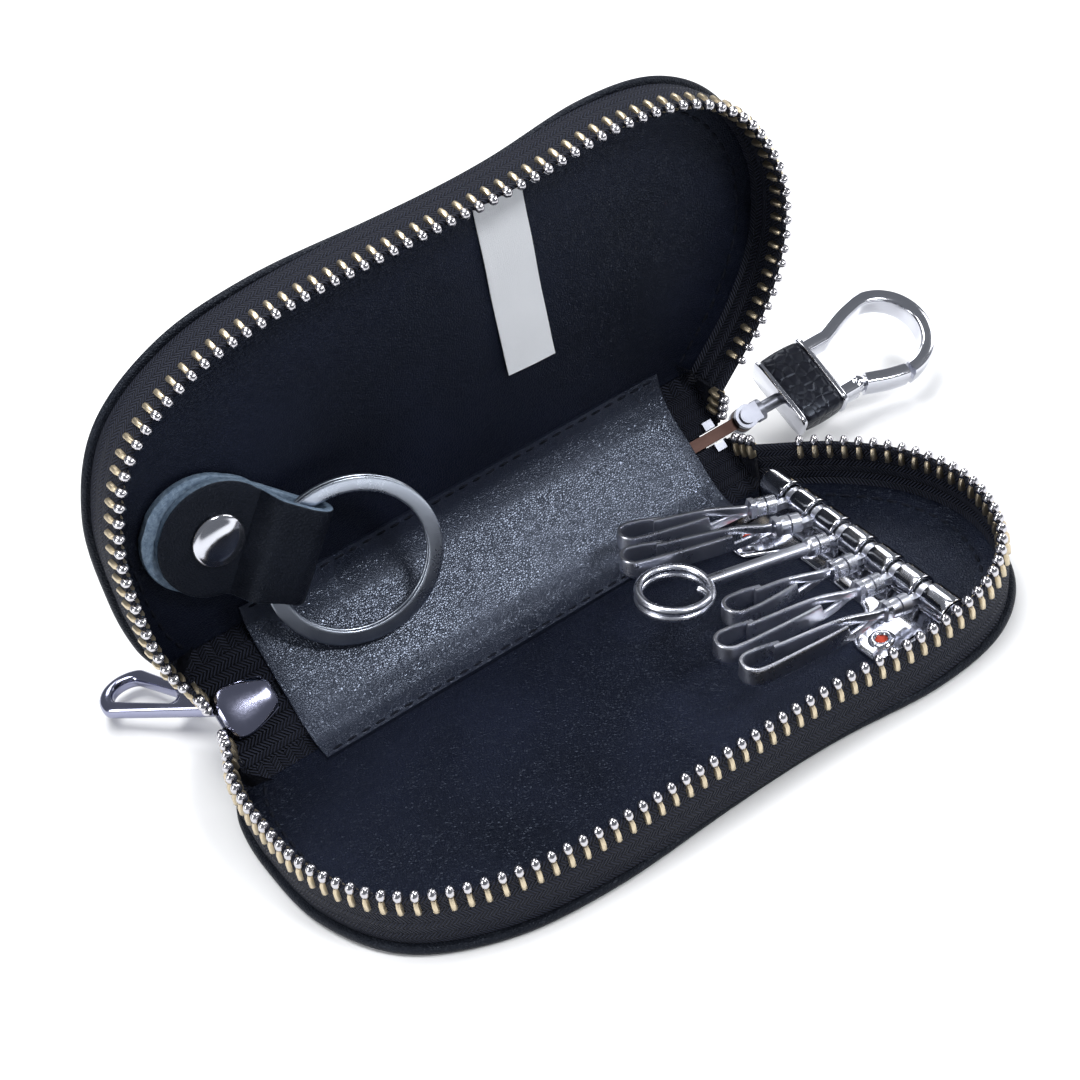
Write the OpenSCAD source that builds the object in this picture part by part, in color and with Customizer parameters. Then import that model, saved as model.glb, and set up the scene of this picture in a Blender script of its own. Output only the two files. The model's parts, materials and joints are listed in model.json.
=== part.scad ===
// Zip-around leather key case, lying open: two shallow halves joined by a leather spine, a metal zip round
// the open sides, six hooks in the lower half, a strapped key ring in the lid and a swivel snap hook.
// Millimetres. +X runs along the spine towards the snap hook, +Z is up, and the origin is the middle of the
// face that the lower half rests on.

/* [Case] */
// Length of the zip line, along the spine
case_l = 118; // [112:1:128]
// Depth of the zip line, from the spine to the far side
case_d = 54; // [53:1:60]
// Thickness of the shut case, leather to leather
case_t = 23; // [22:0.5:26]
// How far each of the two folds stands open
fold_open = 46; // [0:1:70]
// How far the leather panels stand out past the zip tape at the two lobes
panel_edge = 1.1; // [0.6:0.1:1.8]
// How much the leather panels draw in at the waist
waist = 1.5; // [0:0.1:1.8]

/* [Leather and tape] */
// Thickness of the outer leather
leather_t = 1.4; // [1.2:0.1:1.8]
// Thickness of the stiffener board and of the tape's sewn edge beside it
board_t = 0.6; // [0.4:0.1:0.8]
// Thickness of the lining leather
lining_t = 0.5; // [0.4:0.1:0.7]
// Thickness of the woven zip tape
tape_t = 0.8; // [0.6:0.1:1]
// Width of the tape's sewn edge under the lining
seam_w = 5; // [3:0.5:6]

/* [Zip] */
// Distance from one tooth to the next along a chain
tooth_pitch = 2.4; // [2.3:0.05:2.8]
// Width of a tooth along the chain
tooth_w = 0.9; // [0.7:0.05:0.9]
// Length of a tooth's legs, which clamp the tape
tooth_leg = 2.7; // [2:0.1:3.2]
// Radius of a tooth's round head
tooth_r = 0.8; // [0.7:0.05:0.9]
// Length of the slider's two plates
slider_l = 9; // [8:0.5:9.5]
// Width of the slider's two plates
slider_w = 8.4; // [7.5:0.1:9]
// Length of the pull
pull_l = 27; // [22:1:30]
// Radius of the pull's broad end
pull_r = 5.4; // [4.5:0.1:6]

/* [Key row] */
// Share of the case's depth that the key row takes
row_share = 0.815; // [0.8:0.005:0.82]
// Outer radius of the rolled barrel
barrel_r = 2.5; // [2.4:0.1:2.8]
// Thickness of the sheet that the plate is pressed from
plate_t = 0.7; // [0.6:0.1:0.9]
// Reach of a clip hook, from the barrel's rod to its tip
clip_reach = 33.5; // [30:0.5:34]
// Gap between neighbouring clip hooks
clip_gap = 1.3; // [1.2:0.1:1.7]
// Height of the strip that a clip hook is bent from
strip_h = 3; // [2.2:0.1:3.1]
// Thickness of that strip
strip_t = 0.7; // [0.6:0.05:0.8]
// Outer radius of the round hook, as a share of the distance between hooks
round_share = 0.985; // [0.9:0.005:0.99]

/* [Key ring and strap] */
// How far the key ring's opening stands out past the strap on each side
ring_room = 3.8; // [3.4:0.1:4.2]
// Width of the key ring's band
ring_w = 2.4; // [2.1:0.1:2.8]
// Thickness of the key ring
ring_t = 1.6; // [1.3:0.1:1.7]
// Width of the strap's round head
strap_w = 19; // [17:0.5:20]
// Thickness of the strap's leather
strap_t = 1.3; // [1.1:0.1:1.4]
// Radius of the press stud's cap
stud_r = 4.3; // [3.8:0.1:4.5]

/* [Snap hook] */
// Width of the block that the snap hook stands on
block_w = 14; // [13:0.5:15]
// Length of the block
block_l = 9.5; // [8:0.5:11]
// Thickness of the block
block_t = 4.6; // [4:0.1:5]
// Outer radius of the snap hook's bow
bow_r = 8.8; // [8:0.1:9.5]
// Width of the snap hook's bar, seen from the front
bow_w = 2.5; // [2.3:0.1:3]
// Thickness of the snap hook's bar
bow_t = 4; // [3.4:0.1:4.2]
// Length of the snap hook, from the block to the tip
bow_l = 21.5; // [20.5:0.5:24]

/* [Hidden] */
$fn = 48;

// Clearances: running is for pins in their holes, loose for pieces that only pass each other.
running = 0.06;
loose = 0.35;
fold_gap = 0.3;
// Overrun of every cutting shape past the face that it cuts.
over = 1;
// How far shapes of one solid run into each other where they join.
weld = 0.2;

// Heights and places that several pieces share, in the shut case with the spine's plane at y = 0.
mid_z = case_t / 2;
axis_z = leather_t / 2;
spine_w = case_t - leather_t;
inner_z = leather_t + board_t + lining_t;
spine_in = leather_t / 2 + board_t + lining_t;
panel_y = leather_t / 2 + fold_gap;
lining_y = spine_in + fold_gap;
origin_y = case_d / 2;

// Ends of the spine leather and of its lining, as shares of half the case's length.
spine_end_shares = [-0.75, 0.63];
lining_end_shares = [-0.735, 0.585];
spine_x = [for (s = spine_end_shares) s * case_l / 2];
lining_x = [for (s = lining_end_shares) s * case_l / 2];

// The zip line, from the slider round to the snap hook, as shares of half the length and of the depth.
rim_shares = [[-0.945, 0.01], [-0.985, 0.12], [-1.0, 0.3], [-0.98, 0.56], [-0.875, 0.79], [-0.67, 0.925],
    [-0.41, 0.975], [-0.07, 0.98], [0.27, 0.982], [0.56, 1.0], [0.78, 0.955], [0.93, 0.82], [1.0, 0.6],
    [0.966, 0.38], [0.856, 0.19], [0.7, 0.03]];
rim_steps = 5;
// Where the waist lies, and how far it reaches along the case.
waist_at_share = 0.1;
waist_reach_share = 0.42;

rim_ctrl = [for (s = rim_shares) [s[0] * case_l / 2, -s[1] * case_d]];
rim_n = len(rim_ctrl);
function ctrl(i) = i < 0 ? 2 * rim_ctrl[0] - rim_ctrl[1]
    : i >= rim_n ? 2 * rim_ctrl[rim_n - 1] - rim_ctrl[rim_n - 2] : rim_ctrl[i];
// A smooth curve through four neighbouring points, at share t of the way from b to c.
function smooth(a, b, c, d, t) =
    (2 * b + (c - a) * t + (2 * a - 5 * b + 4 * c - d) * t * t + (3 * b - a - 3 * c + d) * t * t * t) / 2;
rim = concat([for (i = [0 : rim_n - 2], j = [0 : rim_steps - 1])
    smooth(ctrl(i - 1), ctrl(i), ctrl(i + 1), ctrl(i + 2), j / rim_steps)], [rim_ctrl[rim_n - 1]]);
last = len(rim) - 1;
function unit(v) = v / norm(v);
function along(i) = unit(rim[min(i + 1, last)] - rim[max(i - 1, 0)]);
function outward(i) = [along(i)[1], -along(i)[0]];
// How much the leather draws in at a place along the case: all of it at the waist, none at the lobes.
function dip(x) = waist * exp(-pow((x / (case_l / 2) - waist_at_share) / waist_reach_share, 2));
function rim_off(d, w = 0) = [for (i = [0 : last]) rim[i] + outward(i) * (d - w * dip(rim[i][0]))];
function reversed(p) = [for (i = [len(p) - 1 : -1 : 0]) p[i]];

// Distance along the zip line up to each of its points, then the point and heading at a given distance.
run = [for (i = 0, s = 0; i <= last; s = s + (i < last ? norm(rim[i + 1] - rim[i]) : 0), i = i + 1) s];
function seg_at(s) = max([for (i = [0 : last - 1]) if (run[i] <= s) i]);
function point_at(s) = let (i = seg_at(s))
    rim[i] + (rim[i + 1] - rim[i]) * (s - run[i]) / (run[i + 1] - run[i]);
function heading_at(s) =
    let (a = point_at(max(s - tooth_pitch / 2, 0)), b = point_at(min(s + tooth_pitch / 2, run[last])))
    atan2(b[1] - a[1], b[0] - a[0]);

// Everything on the shut case's side of the spine, from a given distance in front of it.
module in_front(y) {
    translate([-case_l, -y - 2 * case_d]) square([2 * case_l, 2 * case_d]);
}
// The area inside the zip line, moved out by d and cut square in front of the spine.
module panel_area(d, y, w = 0) {
    p = rim_off(d, w);
    intersection() {
        polygon(concat([[p[0][0], case_d / 10]], p, [[p[last][0], case_d / 10]]));
        in_front(y);
    }
}
// A strip that follows the zip line, between two offsets from it.
module rim_strip(d_out, d_in, y) {
    a = rim_off(d_out);
    b = rim_off(d_in);
    intersection() {
        polygon(concat([[a[0][0], case_d / 10]], a, [[a[last][0], case_d / 10], [b[last][0], case_d / 10]],
            reversed(b), [[b[0][0], case_d / 10]]));
        in_front(y);
    }
}

// The three rigid parts of the case: the lower half stays, the spine turns about the lower fold and the
// lid about the upper one. Each is modelled shut and turned open here.
module on_base() {
    translate([0, origin_y, 0]) children();
}
module on_spine() {
    on_base() translate([0, 0, axis_z]) rotate([-fold_open, 0, 0]) translate([0, 0, -axis_z]) children();
}
module on_lid() {
    on_spine() translate([0, 0, case_t - axis_z]) rotate([-fold_open, 0, 0]) translate([0, 0, axis_z])
        mirror([0, 0, 1]) children();
}

// Half shells. Both halves are the same stack, and the lid is its mirror image.
module half_leather() {
    linear_extrude(leather_t) panel_area(tape_t / 2 + panel_edge, panel_y, 1);
}
module half_board() {
    translate([0, 0, leather_t]) linear_extrude(board_t) panel_area(-tape_t / 2 - seam_w, lining_y);
}
module half_tape() {
    top = mid_z - tooth_r - loose / 2;
    translate([0, 0, leather_t]) linear_extrude(board_t)
        rim_strip(tape_t / 2, -tape_t / 2 - seam_w, lining_y);
    translate([0, 0, leather_t + board_t]) linear_extrude(top - leather_t - board_t)
        rim_strip(tape_t / 2, -tape_t / 2, panel_y);
}
module half_lining() {
    translate([0, 0, leather_t + board_t]) linear_extrude(lining_t) panel_area(-tape_t / 2, lining_y);
}

// One tooth: a round head over two legs that clamp the tape's edge, seen along the chain.
head_steps = 8;
tooth_top = mid_z + tooth_r * 0.62;
tooth_slot_top = mid_z - tooth_r - loose / 2;
leg_out = tape_t / 2 + tooth_r * 0.95;
bite = 0.03;
module tooth() {
    head_z = tooth_top - tooth_r;
    leg_z = tooth_slot_top - tooth_leg;
    head = [for (i = [0 : head_steps])
        [tooth_r * cos(180 * i / head_steps), head_z + tooth_r * sin(180 * i / head_steps)]];
    slot = tape_t / 2 - bite;
    rotate([90, 0, 90]) linear_extrude(tooth_w, center = true)
        polygon(concat(head, [[-tooth_r, tooth_slot_top], [-leg_out, tooth_slot_top - tooth_r],
            [-leg_out, leg_z], [-slot, leg_z], [-slot, tooth_slot_top], [slot, tooth_slot_top],
            [slot, leg_z], [leg_out, leg_z], [leg_out, tooth_slot_top - tooth_r],
            [tooth_r, tooth_slot_top]]));
}
chain_start = 2.2;
chain_n = floor((run[last] - 2 * chain_start) / tooth_pitch - 0.5);
module chain(shift_share) {
    for (i = [0 : chain_n - 1]) {
        s = chain_start + (i + shift_share) * tooth_pitch;
        translate(concat(point_at(s), [0])) rotate([0, 0, heading_at(s)]) tooth();
    }
}

// Spine pieces, in the shut case, between the slider's end and the snap hook's end.
slider_x0 = -case_l / 2 * 0.91;
end_x = case_l / 2 * 0.7;
tab_gap = tooth_r + loose;
// Length of the end stops, and how far they stand back from the tape's end.
stop_l = 1.8;
stop_back = 3.4;
module leather_spine_shut() {
    translate([spine_x[0], -leather_t / 2, axis_z]) cube([spine_x[1] - spine_x[0], leather_t, spine_w]);
    for (z = [axis_z, case_t - axis_z])
        translate([spine_x[0], 0, z]) rotate([0, 90, 0])
            cylinder(r = leather_t / 2, h = spine_x[1] - spine_x[0]);
}
tab_x = [slider_x0 - board_t / 2, end_x - board_t];
tab_low = inner_z + loose;
module tab_shut(x0, x1) {
    for (z = [[tab_low, mid_z - tab_gap], [mid_z + tab_gap, case_t - tab_low]])
        translate([x0, -leather_t / 2 - board_t, z[0]]) cube([x1 - x0, board_t, z[1] - z[0]]);
}
tab_under = 4;
module tape_ends_shut() {
    tab_shut(tab_x[0], lining_x[0] + tab_under);
    tab_shut(lining_x[1] - tab_under, tab_x[1]);
}
// The free stretches of zip at both ends of the spine, drawn as they lie with the folds at rest: the tape
// fans from the end of a half's wall over to the spine, with the last teeth along its upper edge.
function from_half(p) = let (y = p[1], z = p[2] - axis_z)
    [p[0], y * cos(fold_open) - z * sin(fold_open), y * sin(fold_open) + z * cos(fold_open) + axis_z];
bend_teeth = 3;
bend_low = inner_z + loose;
// For each end: the half's last point of the chain, and the spine's.
bend_start = 0.8;
bend_rims = [point_at(bend_start), point_at(run[last] - bend_start)];
bend_r = board_t / 2;
bend_spine_x = [tab_x[0] - 1.2 * bend_r, tab_x[1] + 1.2 * bend_r];
bend_top = tooth_slot_top - bend_r;
function bend_a(i, z) = from_half([bend_rims[i][0], -panel_y + 1.2 * bend_r, z]);
function bend_b(i, z) = [bend_spine_x[i], chain_y, z];
function bend_at(i, t, za, zb) = bend_a(i, za) * (1 - t) + bend_b(i, zb) * t;
bend_mouth = mid_z - tab_gap - bend_r;
module bends_tape_half() {
    for (i = [0, 1]) hull() for (t = [0, 1])
        for (p = [bend_at(i, t, bend_low, bend_low), bend_at(i, t, bend_top, bend_mouth)])
            translate(p) sphere(bend_r, $fn = 16);
}
module bends_teeth_half() {
    for (i = [0, 1], k = [0 : bend_teeth - 1]) {
        t = (k + 0.5) / (bend_teeth + 0.75);
        d = bend_b(i, bend_mouth) - bend_a(i, bend_top);
        translate(bend_at(i, t, bend_top, bend_mouth)) rotate([0, 0, atan2(d[1], d[0])])
            rotate([0, -atan2(d[2], norm([d[0], d[1]])), 0]) translate([0, 0, -tooth_slot_top]) tooth();
    }
}
module both_halves() {
    children();
    translate([0, 0, case_t]) mirror([0, 0, 1]) children();
}
module lining_spine_shut() {
    low = leather_t + fold_gap;
    difference() {
        translate([lining_x[0], -spine_in, low])
            cube([lining_x[1] - lining_x[0], spine_in - leather_t / 2, case_t - 2 * low]);
        tape_ends_shut();
        lug_bar_shut();
    }
}

// Zip slider at the left end of its travel, its two plates either side of the tape.
chain_y = -leather_t / 2 - board_t / 2;
slider_play = 0.25;
plate_gap = tape_t / 2 + tooth_r + slider_play;
wing_t = 1;
wedge = tab_gap * 0.8;
// Half the plates' outline: along their length, and out to the side.
wing_shares = [[0, 0.72], [0.12, 0.95], [0.35, 1], [0.7, 0.8], [0.95, 0.62], [1, 0.4]];
module wing() {
    w = slider_w / 2;
    rotate([90, 0, 0]) linear_extrude(wing_t, center = true)
        polygon(concat([for (q = wing_shares) [slider_l * q[0], -w * q[1]]],
            [for (q = reversed(wing_shares)) [slider_l * q[0], w * q[1]]]));
}
bail_r = 0.8;
// The pull's eye is a loose ring on the bail, so the pull can lie turned to one side.
pull_eye_r = 2.45;
pull_eye_in = 1.6;
pull_eye_l = 1.8;
pull_neck = 1;
pull_yaw = 31;
bail_y = chain_y + plate_gap + wing_t + pull_eye_r + 1.5 * loose;
bail_x0 = slider_x0 + slider_l * 0.1;
bail_l = slider_l * 0.78;
bail_post = 1.1;
module slider_shut() {
    for (s = [-1, 1])
        translate([slider_x0, chain_y + s * (plate_gap + wing_t / 2), mid_z]) wing();
    // The wedge that parts the two chains
    translate([slider_x0 + slider_l * 0.18, chain_y, mid_z]) rotate([90, 0, 0])
        linear_extrude(2 * plate_gap + wing_t, center = true)
            polygon([[-slider_l * 0.14, 0], [0, -wedge], [slider_l * 0.3, 0], [0, wedge]]);
    // The bail that carries the pull: a bar between two posts
    translate([bail_x0, bail_y, mid_z]) rotate([0, 90, 0]) cylinder(r = bail_r, h = bail_l);
    for (x = [bail_x0, bail_x0 + bail_l - bail_post])
        translate([x, chain_y + plate_gap + wing_t / 2, mid_z - bail_r])
            cube([bail_post, bail_y - chain_y - plate_gap - wing_t / 2, 2 * bail_r]);
}
// The pull in its own frame: its eye on the x axis, its broad end along +y.
pull_t = 2.2;
pull_turn = 40;
pull_x = bail_x0 + bail_l / 2;
module pull_shape() {
    reach = pull_l - pull_r;
    rotate([0, 0, pull_yaw]) difference() {
        union() {
            rotate([0, 90, 0]) cylinder(r = pull_eye_r, h = pull_eye_l, center = true);
            translate([0, 0, -pull_t / 2]) linear_extrude(pull_t) {
                translate([0, reach]) circle(pull_r);
                polygon([[-pull_neck, pull_eye_r * 0.9], [pull_neck, pull_eye_r * 0.9],
                    [pull_r * 0.985, reach - pull_r * 0.17], [-pull_r * 0.985, reach - pull_r * 0.17]]);
            }
        }
        rotate([0, 90, 0]) cylinder(r = pull_eye_in, h = pull_eye_l + over, center = true);
        // The long hole through the broad end
        translate([0, 0, -pull_t]) linear_extrude(2 * pull_t) {
            translate([0, reach + pull_r * 0.1]) circle(pull_r * 0.5);
            polygon([[-pull_r * 0.5, reach + pull_r * 0.1], [-pull_r * 0.3, reach - pull_r * 1.3],
                [pull_r * 0.3, reach - pull_r * 1.3], [pull_r * 0.5, reach + pull_r * 0.1]]);
            translate([0, reach - pull_r * 1.3]) circle(pull_r * 0.3);
        }
    }
}

// Key row: plate, barrel and rod, then six links with their hooks.
row_x = case_l / 2 * 0.69;
row_slots = 6;
row_l = case_d * row_share;
hook_pitch = row_l / (row_slots + 1);
clip_w = hook_pitch - clip_gap;
round_r = hook_pitch * round_share;
row_y1 = -case_d * 0.105;
rod_r = 1;
// Height of the barrel's underside over the lining.
barrel_lift = 0.9;
rod_z = inner_z + barrel_r + barrel_lift;
slot_w = 1.9;
slot_floor = 0.1;
// Height of the strip left along the barrel's underside, which holds it in one piece.
slot_under = 0.4;
link_w = 1.2;
link_h = 1.2;
eye_r = 1.75;
function slot_y(k) = row_y1 - k * hook_pitch;
foot_l = 13;
lobe_share = 0.3;
// The pressed foot with its two pointed lobes, and the rise to the barrel that is rolled from the same sheet.
module row_plate_shape() {
    foot = [[-foot_l * 0.45, 0], [-foot_l, 0.06], [-foot_l, 0.2], [-foot_l * 0.5, lobe_share]];
    side = concat([[barrel_r * 0.6, 0]], foot);
    difference() {
        union() {
            translate([row_x, row_y1, inner_z]) linear_extrude(plate_t)
                polygon(concat([for (q = side) [q[0], -q[1] * row_l]],
                    [for (q = reversed(side)) [q[0], (q[1] - 1) * row_l]]));
            translate([row_x - plate_t, row_y1 - row_l, inner_z])
                cube([2 * plate_t, row_l, rod_z - inner_z - barrel_r + plate_t / 2]);
        }
        translate([row_x, row_y1 + over, rod_z]) rotate([90, 0, 0])
            cylinder(r = barrel_r, h = row_l + 2 * over);
        for (k = [1 : row_slots])
            translate([row_x - barrel_r - over, slot_y(k) - slot_w / 2, inner_z + plate_t + slot_floor])
                cube([2 * barrel_r + 2 * over, slot_w, 2 * barrel_r + rod_z]);
        for (y = rivet_ys) translate([rivet_x, y, inner_z - over])
            cylinder(r = rivet_r, h = plate_t + 2 * over);
    }
}
module barrel_shape() {
    difference() {
        translate([row_x, row_y1, rod_z]) rotate([90, 0, 0]) cylinder(r = barrel_r, h = row_l);
        translate([row_x, row_y1 + over, rod_z]) rotate([90, 0, 0])
            cylinder(r = barrel_r - plate_t, h = row_l + 2 * over);
        // Slots for the links, open except along the barrel's underside
        for (k = [1 : row_slots])
            translate([row_x - barrel_r - over, slot_y(k) - slot_w / 2, rod_z - barrel_r + slot_under])
                cube([2 * barrel_r + 2 * over, slot_w, 2 * barrel_r]);
    }
}
rivet_x = row_x - foot_l * 0.72;
rivet_ys = [row_y1 - row_l * 0.13, row_y1 - row_l * 0.87];
rivet_r = 1.1;
rivet_head = 0.45;
module rivets_shape() {
    for (y = rivet_ys) translate([rivet_x, y, 0]) {
        translate([0, 0, inner_z]) cylinder(r = rivet_r, h = plate_t);
        difference() {
            translate([0, 0, inner_z + plate_t])
                cylinder(r1 = rivet_r * 1.9, r2 = rivet_r * 1.5, h = rivet_head);
            translate([0, 0, inner_z + plate_t + rivet_head / 3]) cylinder(r = rivet_r * 0.6, h = over);
        }
    }
}
module rod_shape() {
    translate([row_x, row_y1 - plate_t, rod_z]) rotate([90, 0, 0])
        cylinder(r = rod_r, h = row_l - 2 * plate_t);
    for (y = [row_y1, row_y1 - row_l + plate_t])
        translate([row_x, y, rod_z]) rotate([90, 0, 0]) cylinder(r = barrel_r - plate_t, h = plate_t);
}

// How far each hook is turned sideways on its link.
hook_yaws = [13, 13, 6, 1, 1, 1];
// How far the hooks are held up by the links, which rest on the edge of the plate.
hook_raise = 10;
// Each hook's reach as a share: the fourth is a short one, and the round one stands out past the rest.
reach_shares = [0.9, 1, 1.07, 0.82, 1, 1];
reaches = [for (s = reach_shares) clip_reach * s];
stem_at = 5.2;
stem_r = 0.8;
stem_l = 2.6;
// Places a hook: u runs out from the rod, v sideways and w up.
module at_hook(k) {
    on_base() translate([row_x, slot_y(k), rod_z]) rotate([0, hook_raise, 0])
        rotate([0, 0, 180 - hook_yaws[k - 1]]) children();
}
// A link: an eye round the rod and an arm that ends in a swivel collar.
collar_l = 1.6;
collar_r = 1.55;
module link_shape(k) {
    yaw = hook_yaws[k - 1];
    at_hook(k) difference() {
        union() {
            rotate([0, 0, yaw]) {
                rotate([90, 0, 0]) cylinder(r = eye_r, h = link_w, center = true);
                translate([0, -link_w / 2, -link_h / 2]) cube([stem_at * 0.8, link_w, link_h]);
            }
            translate([stem_at * 0.72, 0, 0]) rotate([0, 90, 0]) cylinder(r = collar_r, h = collar_l);
        }
        rotate([0, 0, yaw]) rotate([90, 0, 0])
            cylinder(r = rod_r + running, h = link_w + over, center = true);
        translate([stem_at * 0.72 + collar_l * 0.25, 0, 0]) rotate([0, 90, 0])
            cylinder(r = stem_r + running, h = collar_l + over);
    }
}
// The swivel stem at a hook's root, which turns in the link's collar.
module stem_shape(root_u) {
    u0 = stem_at * 0.72 + collar_l * 0.25 + running;
    translate([u0, 0, 0]) rotate([0, 90, 0]) cylinder(r = stem_r, h = root_u - u0 + weld);
    translate([stem_at * 0.72 + collar_l + running, 0, 0]) rotate([0, 90, 0])
        cylinder(r = collar_r, h = root_u - stem_at * 0.72 - collar_l - running);
}
root_u = 7.2;
cross_u = 10.5;
// Where the crossing legs have spread to the loop's full width, and the thickness of the hook's root.
spread_l = 3;
root_l = 0.9;
// The strip bent along a path in the plan, its corners mitred.
function strip_side(p, i, h) = let (u = unit(i == 0 ? p[1] - p[0] : p[i] - p[i - 1]),
    v = i == len(p) - 1 ? u : unit(p[i + 1] - p[i]), m = unit([-u[1] - v[1], u[0] + v[0]]))
    p[i] + m * h / (m * [-u[1], u[0]]);
module strip_path(p) {
    linear_extrude(strip_h, center = true)
        polygon(concat([for (i = [0 : len(p) - 1]) strip_side(p, i, strip_t / 2)],
            [for (i = [len(p) - 1 : -1 : 0]) strip_side(p, i, -strip_t / 2)]));
}
half_loop = (clip_w - strip_t) / 2;
root_v = strip_t * 1.1;
lip_back = 5.5;
tip_steps = 8;
// A clip hook's hooked leg: it leaves the root, crosses the latch leg at half height and turns back.
module clip_shape(reach) {
    tip = reach - clip_w / 2;
    a = [root_u, -root_v];
    b = [cross_u + spread_l, half_loop * 0.62];
    lip = [tip - lip_back, -half_loop];
    difference() {
        union() {
            stem_shape(root_u);
            translate([root_u - weld / 2, -root_v - strip_t / 2, -strip_h / 2])
                cube([root_l, 2 * root_v + strip_t, strip_h]);
            strip_path(concat([a, b], [for (i = [0 : tip_steps])
                [tip + half_loop * sin(180 * i / tip_steps), half_loop * cos(180 * i / tip_steps)]], [lip]));
        }
        // The half-height notch where the two legs cross
        translate([latch_u - latch_knuckle, -clip_w / 2, -notch_gap]) cube([cross_l, clip_w, strip_h]);
    }
}
// From the root to the latch leg's own root, and how far that leg's end runs under the lip.
latch_back = 1.6;
latch_under = 1.6;
latch_u = root_u + latch_back;
latch_knuckle = 0.5;
latch_gap = 0.3;
// Half the height left between the two legs where they cross, and how far the crossing reaches.
notch_gap = 0.1;
cross_l = 5;
// The latch leg: it crosses the hooked leg at half height and closes against the lip from inside.
module latch_shape(reach) {
    tip = reach - clip_w / 2;
    a = [latch_u, root_v];
    b = [cross_u + spread_l, -half_loop * 0.5];
    c = [tip - lip_back + latch_under, -half_loop + strip_t + latch_gap];
    difference() {
        strip_path([a, b, c]);
        translate([latch_u - latch_knuckle - over, -clip_w, -strip_h + notch_gap])
            cube([cross_l + latch_knuckle + over, 2 * clip_w, strip_h]);
    }
}
// The round hook: two turns of wire side by side on a short neck.
wire_r = 0.65;
round_beyond = 0.5;
module round_shape() {
    c = round_r - wire_r;
    centre = reaches[2] - round_r + round_beyond;
    stem_shape(root_u);
    translate([root_u, 0, 0]) rotate([0, 90, 0]) cylinder(r = wire_r, h = centre - root_u - c + weld);
    translate([root_u - weld / 2, 0, 0]) sphere(r = wire_r * 1.4);
    for (z = [-wire_r * 0.97, wire_r * 0.97])
        translate([centre, 0, z]) rotate_extrude() translate([c, 0]) circle(wire_r, $fn = 24);
}

// Strap, press stud and key ring, on the lid. Its frame has +u along the strap and w up from the lining.
// The stud stands far enough from the spine for the ring, which lies over the spine's lining.
stud_back = 3.9;
// Width of the strap at the ring, as a share of its head's width.
fold_share = 0.82;
fold_w = strap_w * fold_share;
ring_r = fold_w / 2 + ring_room + ring_w;
stud_at = [-case_l / 2 * 0.73, -lining_y - ring_r - stud_back];
strap_turn = -36;
ring_tilt = 12;
// The strap rises from the stud to the loop: where it starts, where it is level again, and by how much.
rise_u = 4.6;
level_u = 11.6;
loop_rise = 1.85;
// The loop's end and its height inside.
loop_end = 15.9;
loop_in = 2.8;
// Where the two layers part, past the cap's rim, and how steeply the upper one then climbs to the loop.
part_back = 0.8;
climb_share = 0.8;
// How far the lower layer's head shows past the upper one.
head_show = 2;
strap_lift = loose;
strap_gap = 0.1;
post_r = 1.6;
// How far under the cap's rim the two layers still lie apart.
cap_under = 2;
cap_room = 0.2;
module at_strap() {
    on_lid() translate([stud_at[0], stud_at[1], inner_z]) rotate([0, 0, -strap_turn]) children();
}
ring_back = 1.35;
ring_drop = 0.15;
// The ring's band lies in the loop so that its inner edge clears the loop's end at the strap's two sides.
ring_u = loop_end - strap_t - loose + sqrt(pow(ring_r - ring_w, 2) - pow(fold_w / 2, 2)) - ring_back;
ring_pivot_u = ring_u - ring_r + 0.24 * ring_r;
ring_z = strap_lift + strap_t + loop_rise + loop_in / 2 - ring_drop;
module strap_shape() {
    z0 = strap_lift;
    z1 = z0 + strap_t;
    rc = loop_in / 2;
    ro = rc + strap_t;
    zc = z1 + loop_rise + rc;
    loop_c = loop_end - ro;
    tip = ring_tilt * climb_share;
    part_u = stud_r + cap_room + part_back;
    cave_u = ring_u - ring_r - loose / 2;
    cave_out = cave_u - strap_t * 0.64;
    // Both faces of the upper layer run into the round loop a little under its top.
    inside = [loop_c, zc + rc * 0.94];
    outside = [loop_c, zc + ro * 0.97];
    at_strap() difference() {
        intersection() {
            rotate([90, 0, 0]) linear_extrude(strap_w + over, center = true) difference() {
                union() {
                    polygon([[-strap_w, z0], [rise_u, z0], [level_u, z0 + loop_rise], [loop_c, zc - ro * 0.97],
                        outside, [cave_out, outside[1] - (outside[0] - cave_out) * tan(tip)],
                        [stud_r + cap_room, z1 + strap_gap + strap_t], [-strap_w, z1 + strap_gap + strap_t]]);
                    translate([loop_c, zc]) circle(ro);
                }
                polygon([[loop_c, zc - rc * 0.94], inside,
                    [cave_u, inside[1] - (inside[0] - cave_u) * tan(tip)],
                    [part_u, z1 + loop_rise * (part_u - rise_u) / (level_u - rise_u)], [level_u, zc - rc]]);
                translate([loop_c, zc]) circle(rc);
                polygon([[-strap_w, z1], [stud_r - cap_under, z1], [stud_r - cap_under, z1 + strap_gap],
                    [-strap_w, z1 + strap_gap]]);
            }
            union() {
                cylinder(r = strap_w / 2, h = case_t);
                translate([-head_show, 0, 0]) cylinder(r = strap_w / 2, h = z1 + strap_gap / 2);
                linear_extrude(case_t) polygon([[0, -strap_w * 0.48], [level_u, -fold_w / 2],
                    [loop_end + strap_t, -fold_w / 2], [loop_end + strap_t, fold_w / 2], [level_u, fold_w / 2],
                    [0, strap_w * 0.48]]);
            }
        }
        translate([0, 0, -over]) cylinder(r = post_r + running, h = case_t);
    }
}
cap_h = 1.5;
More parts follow.
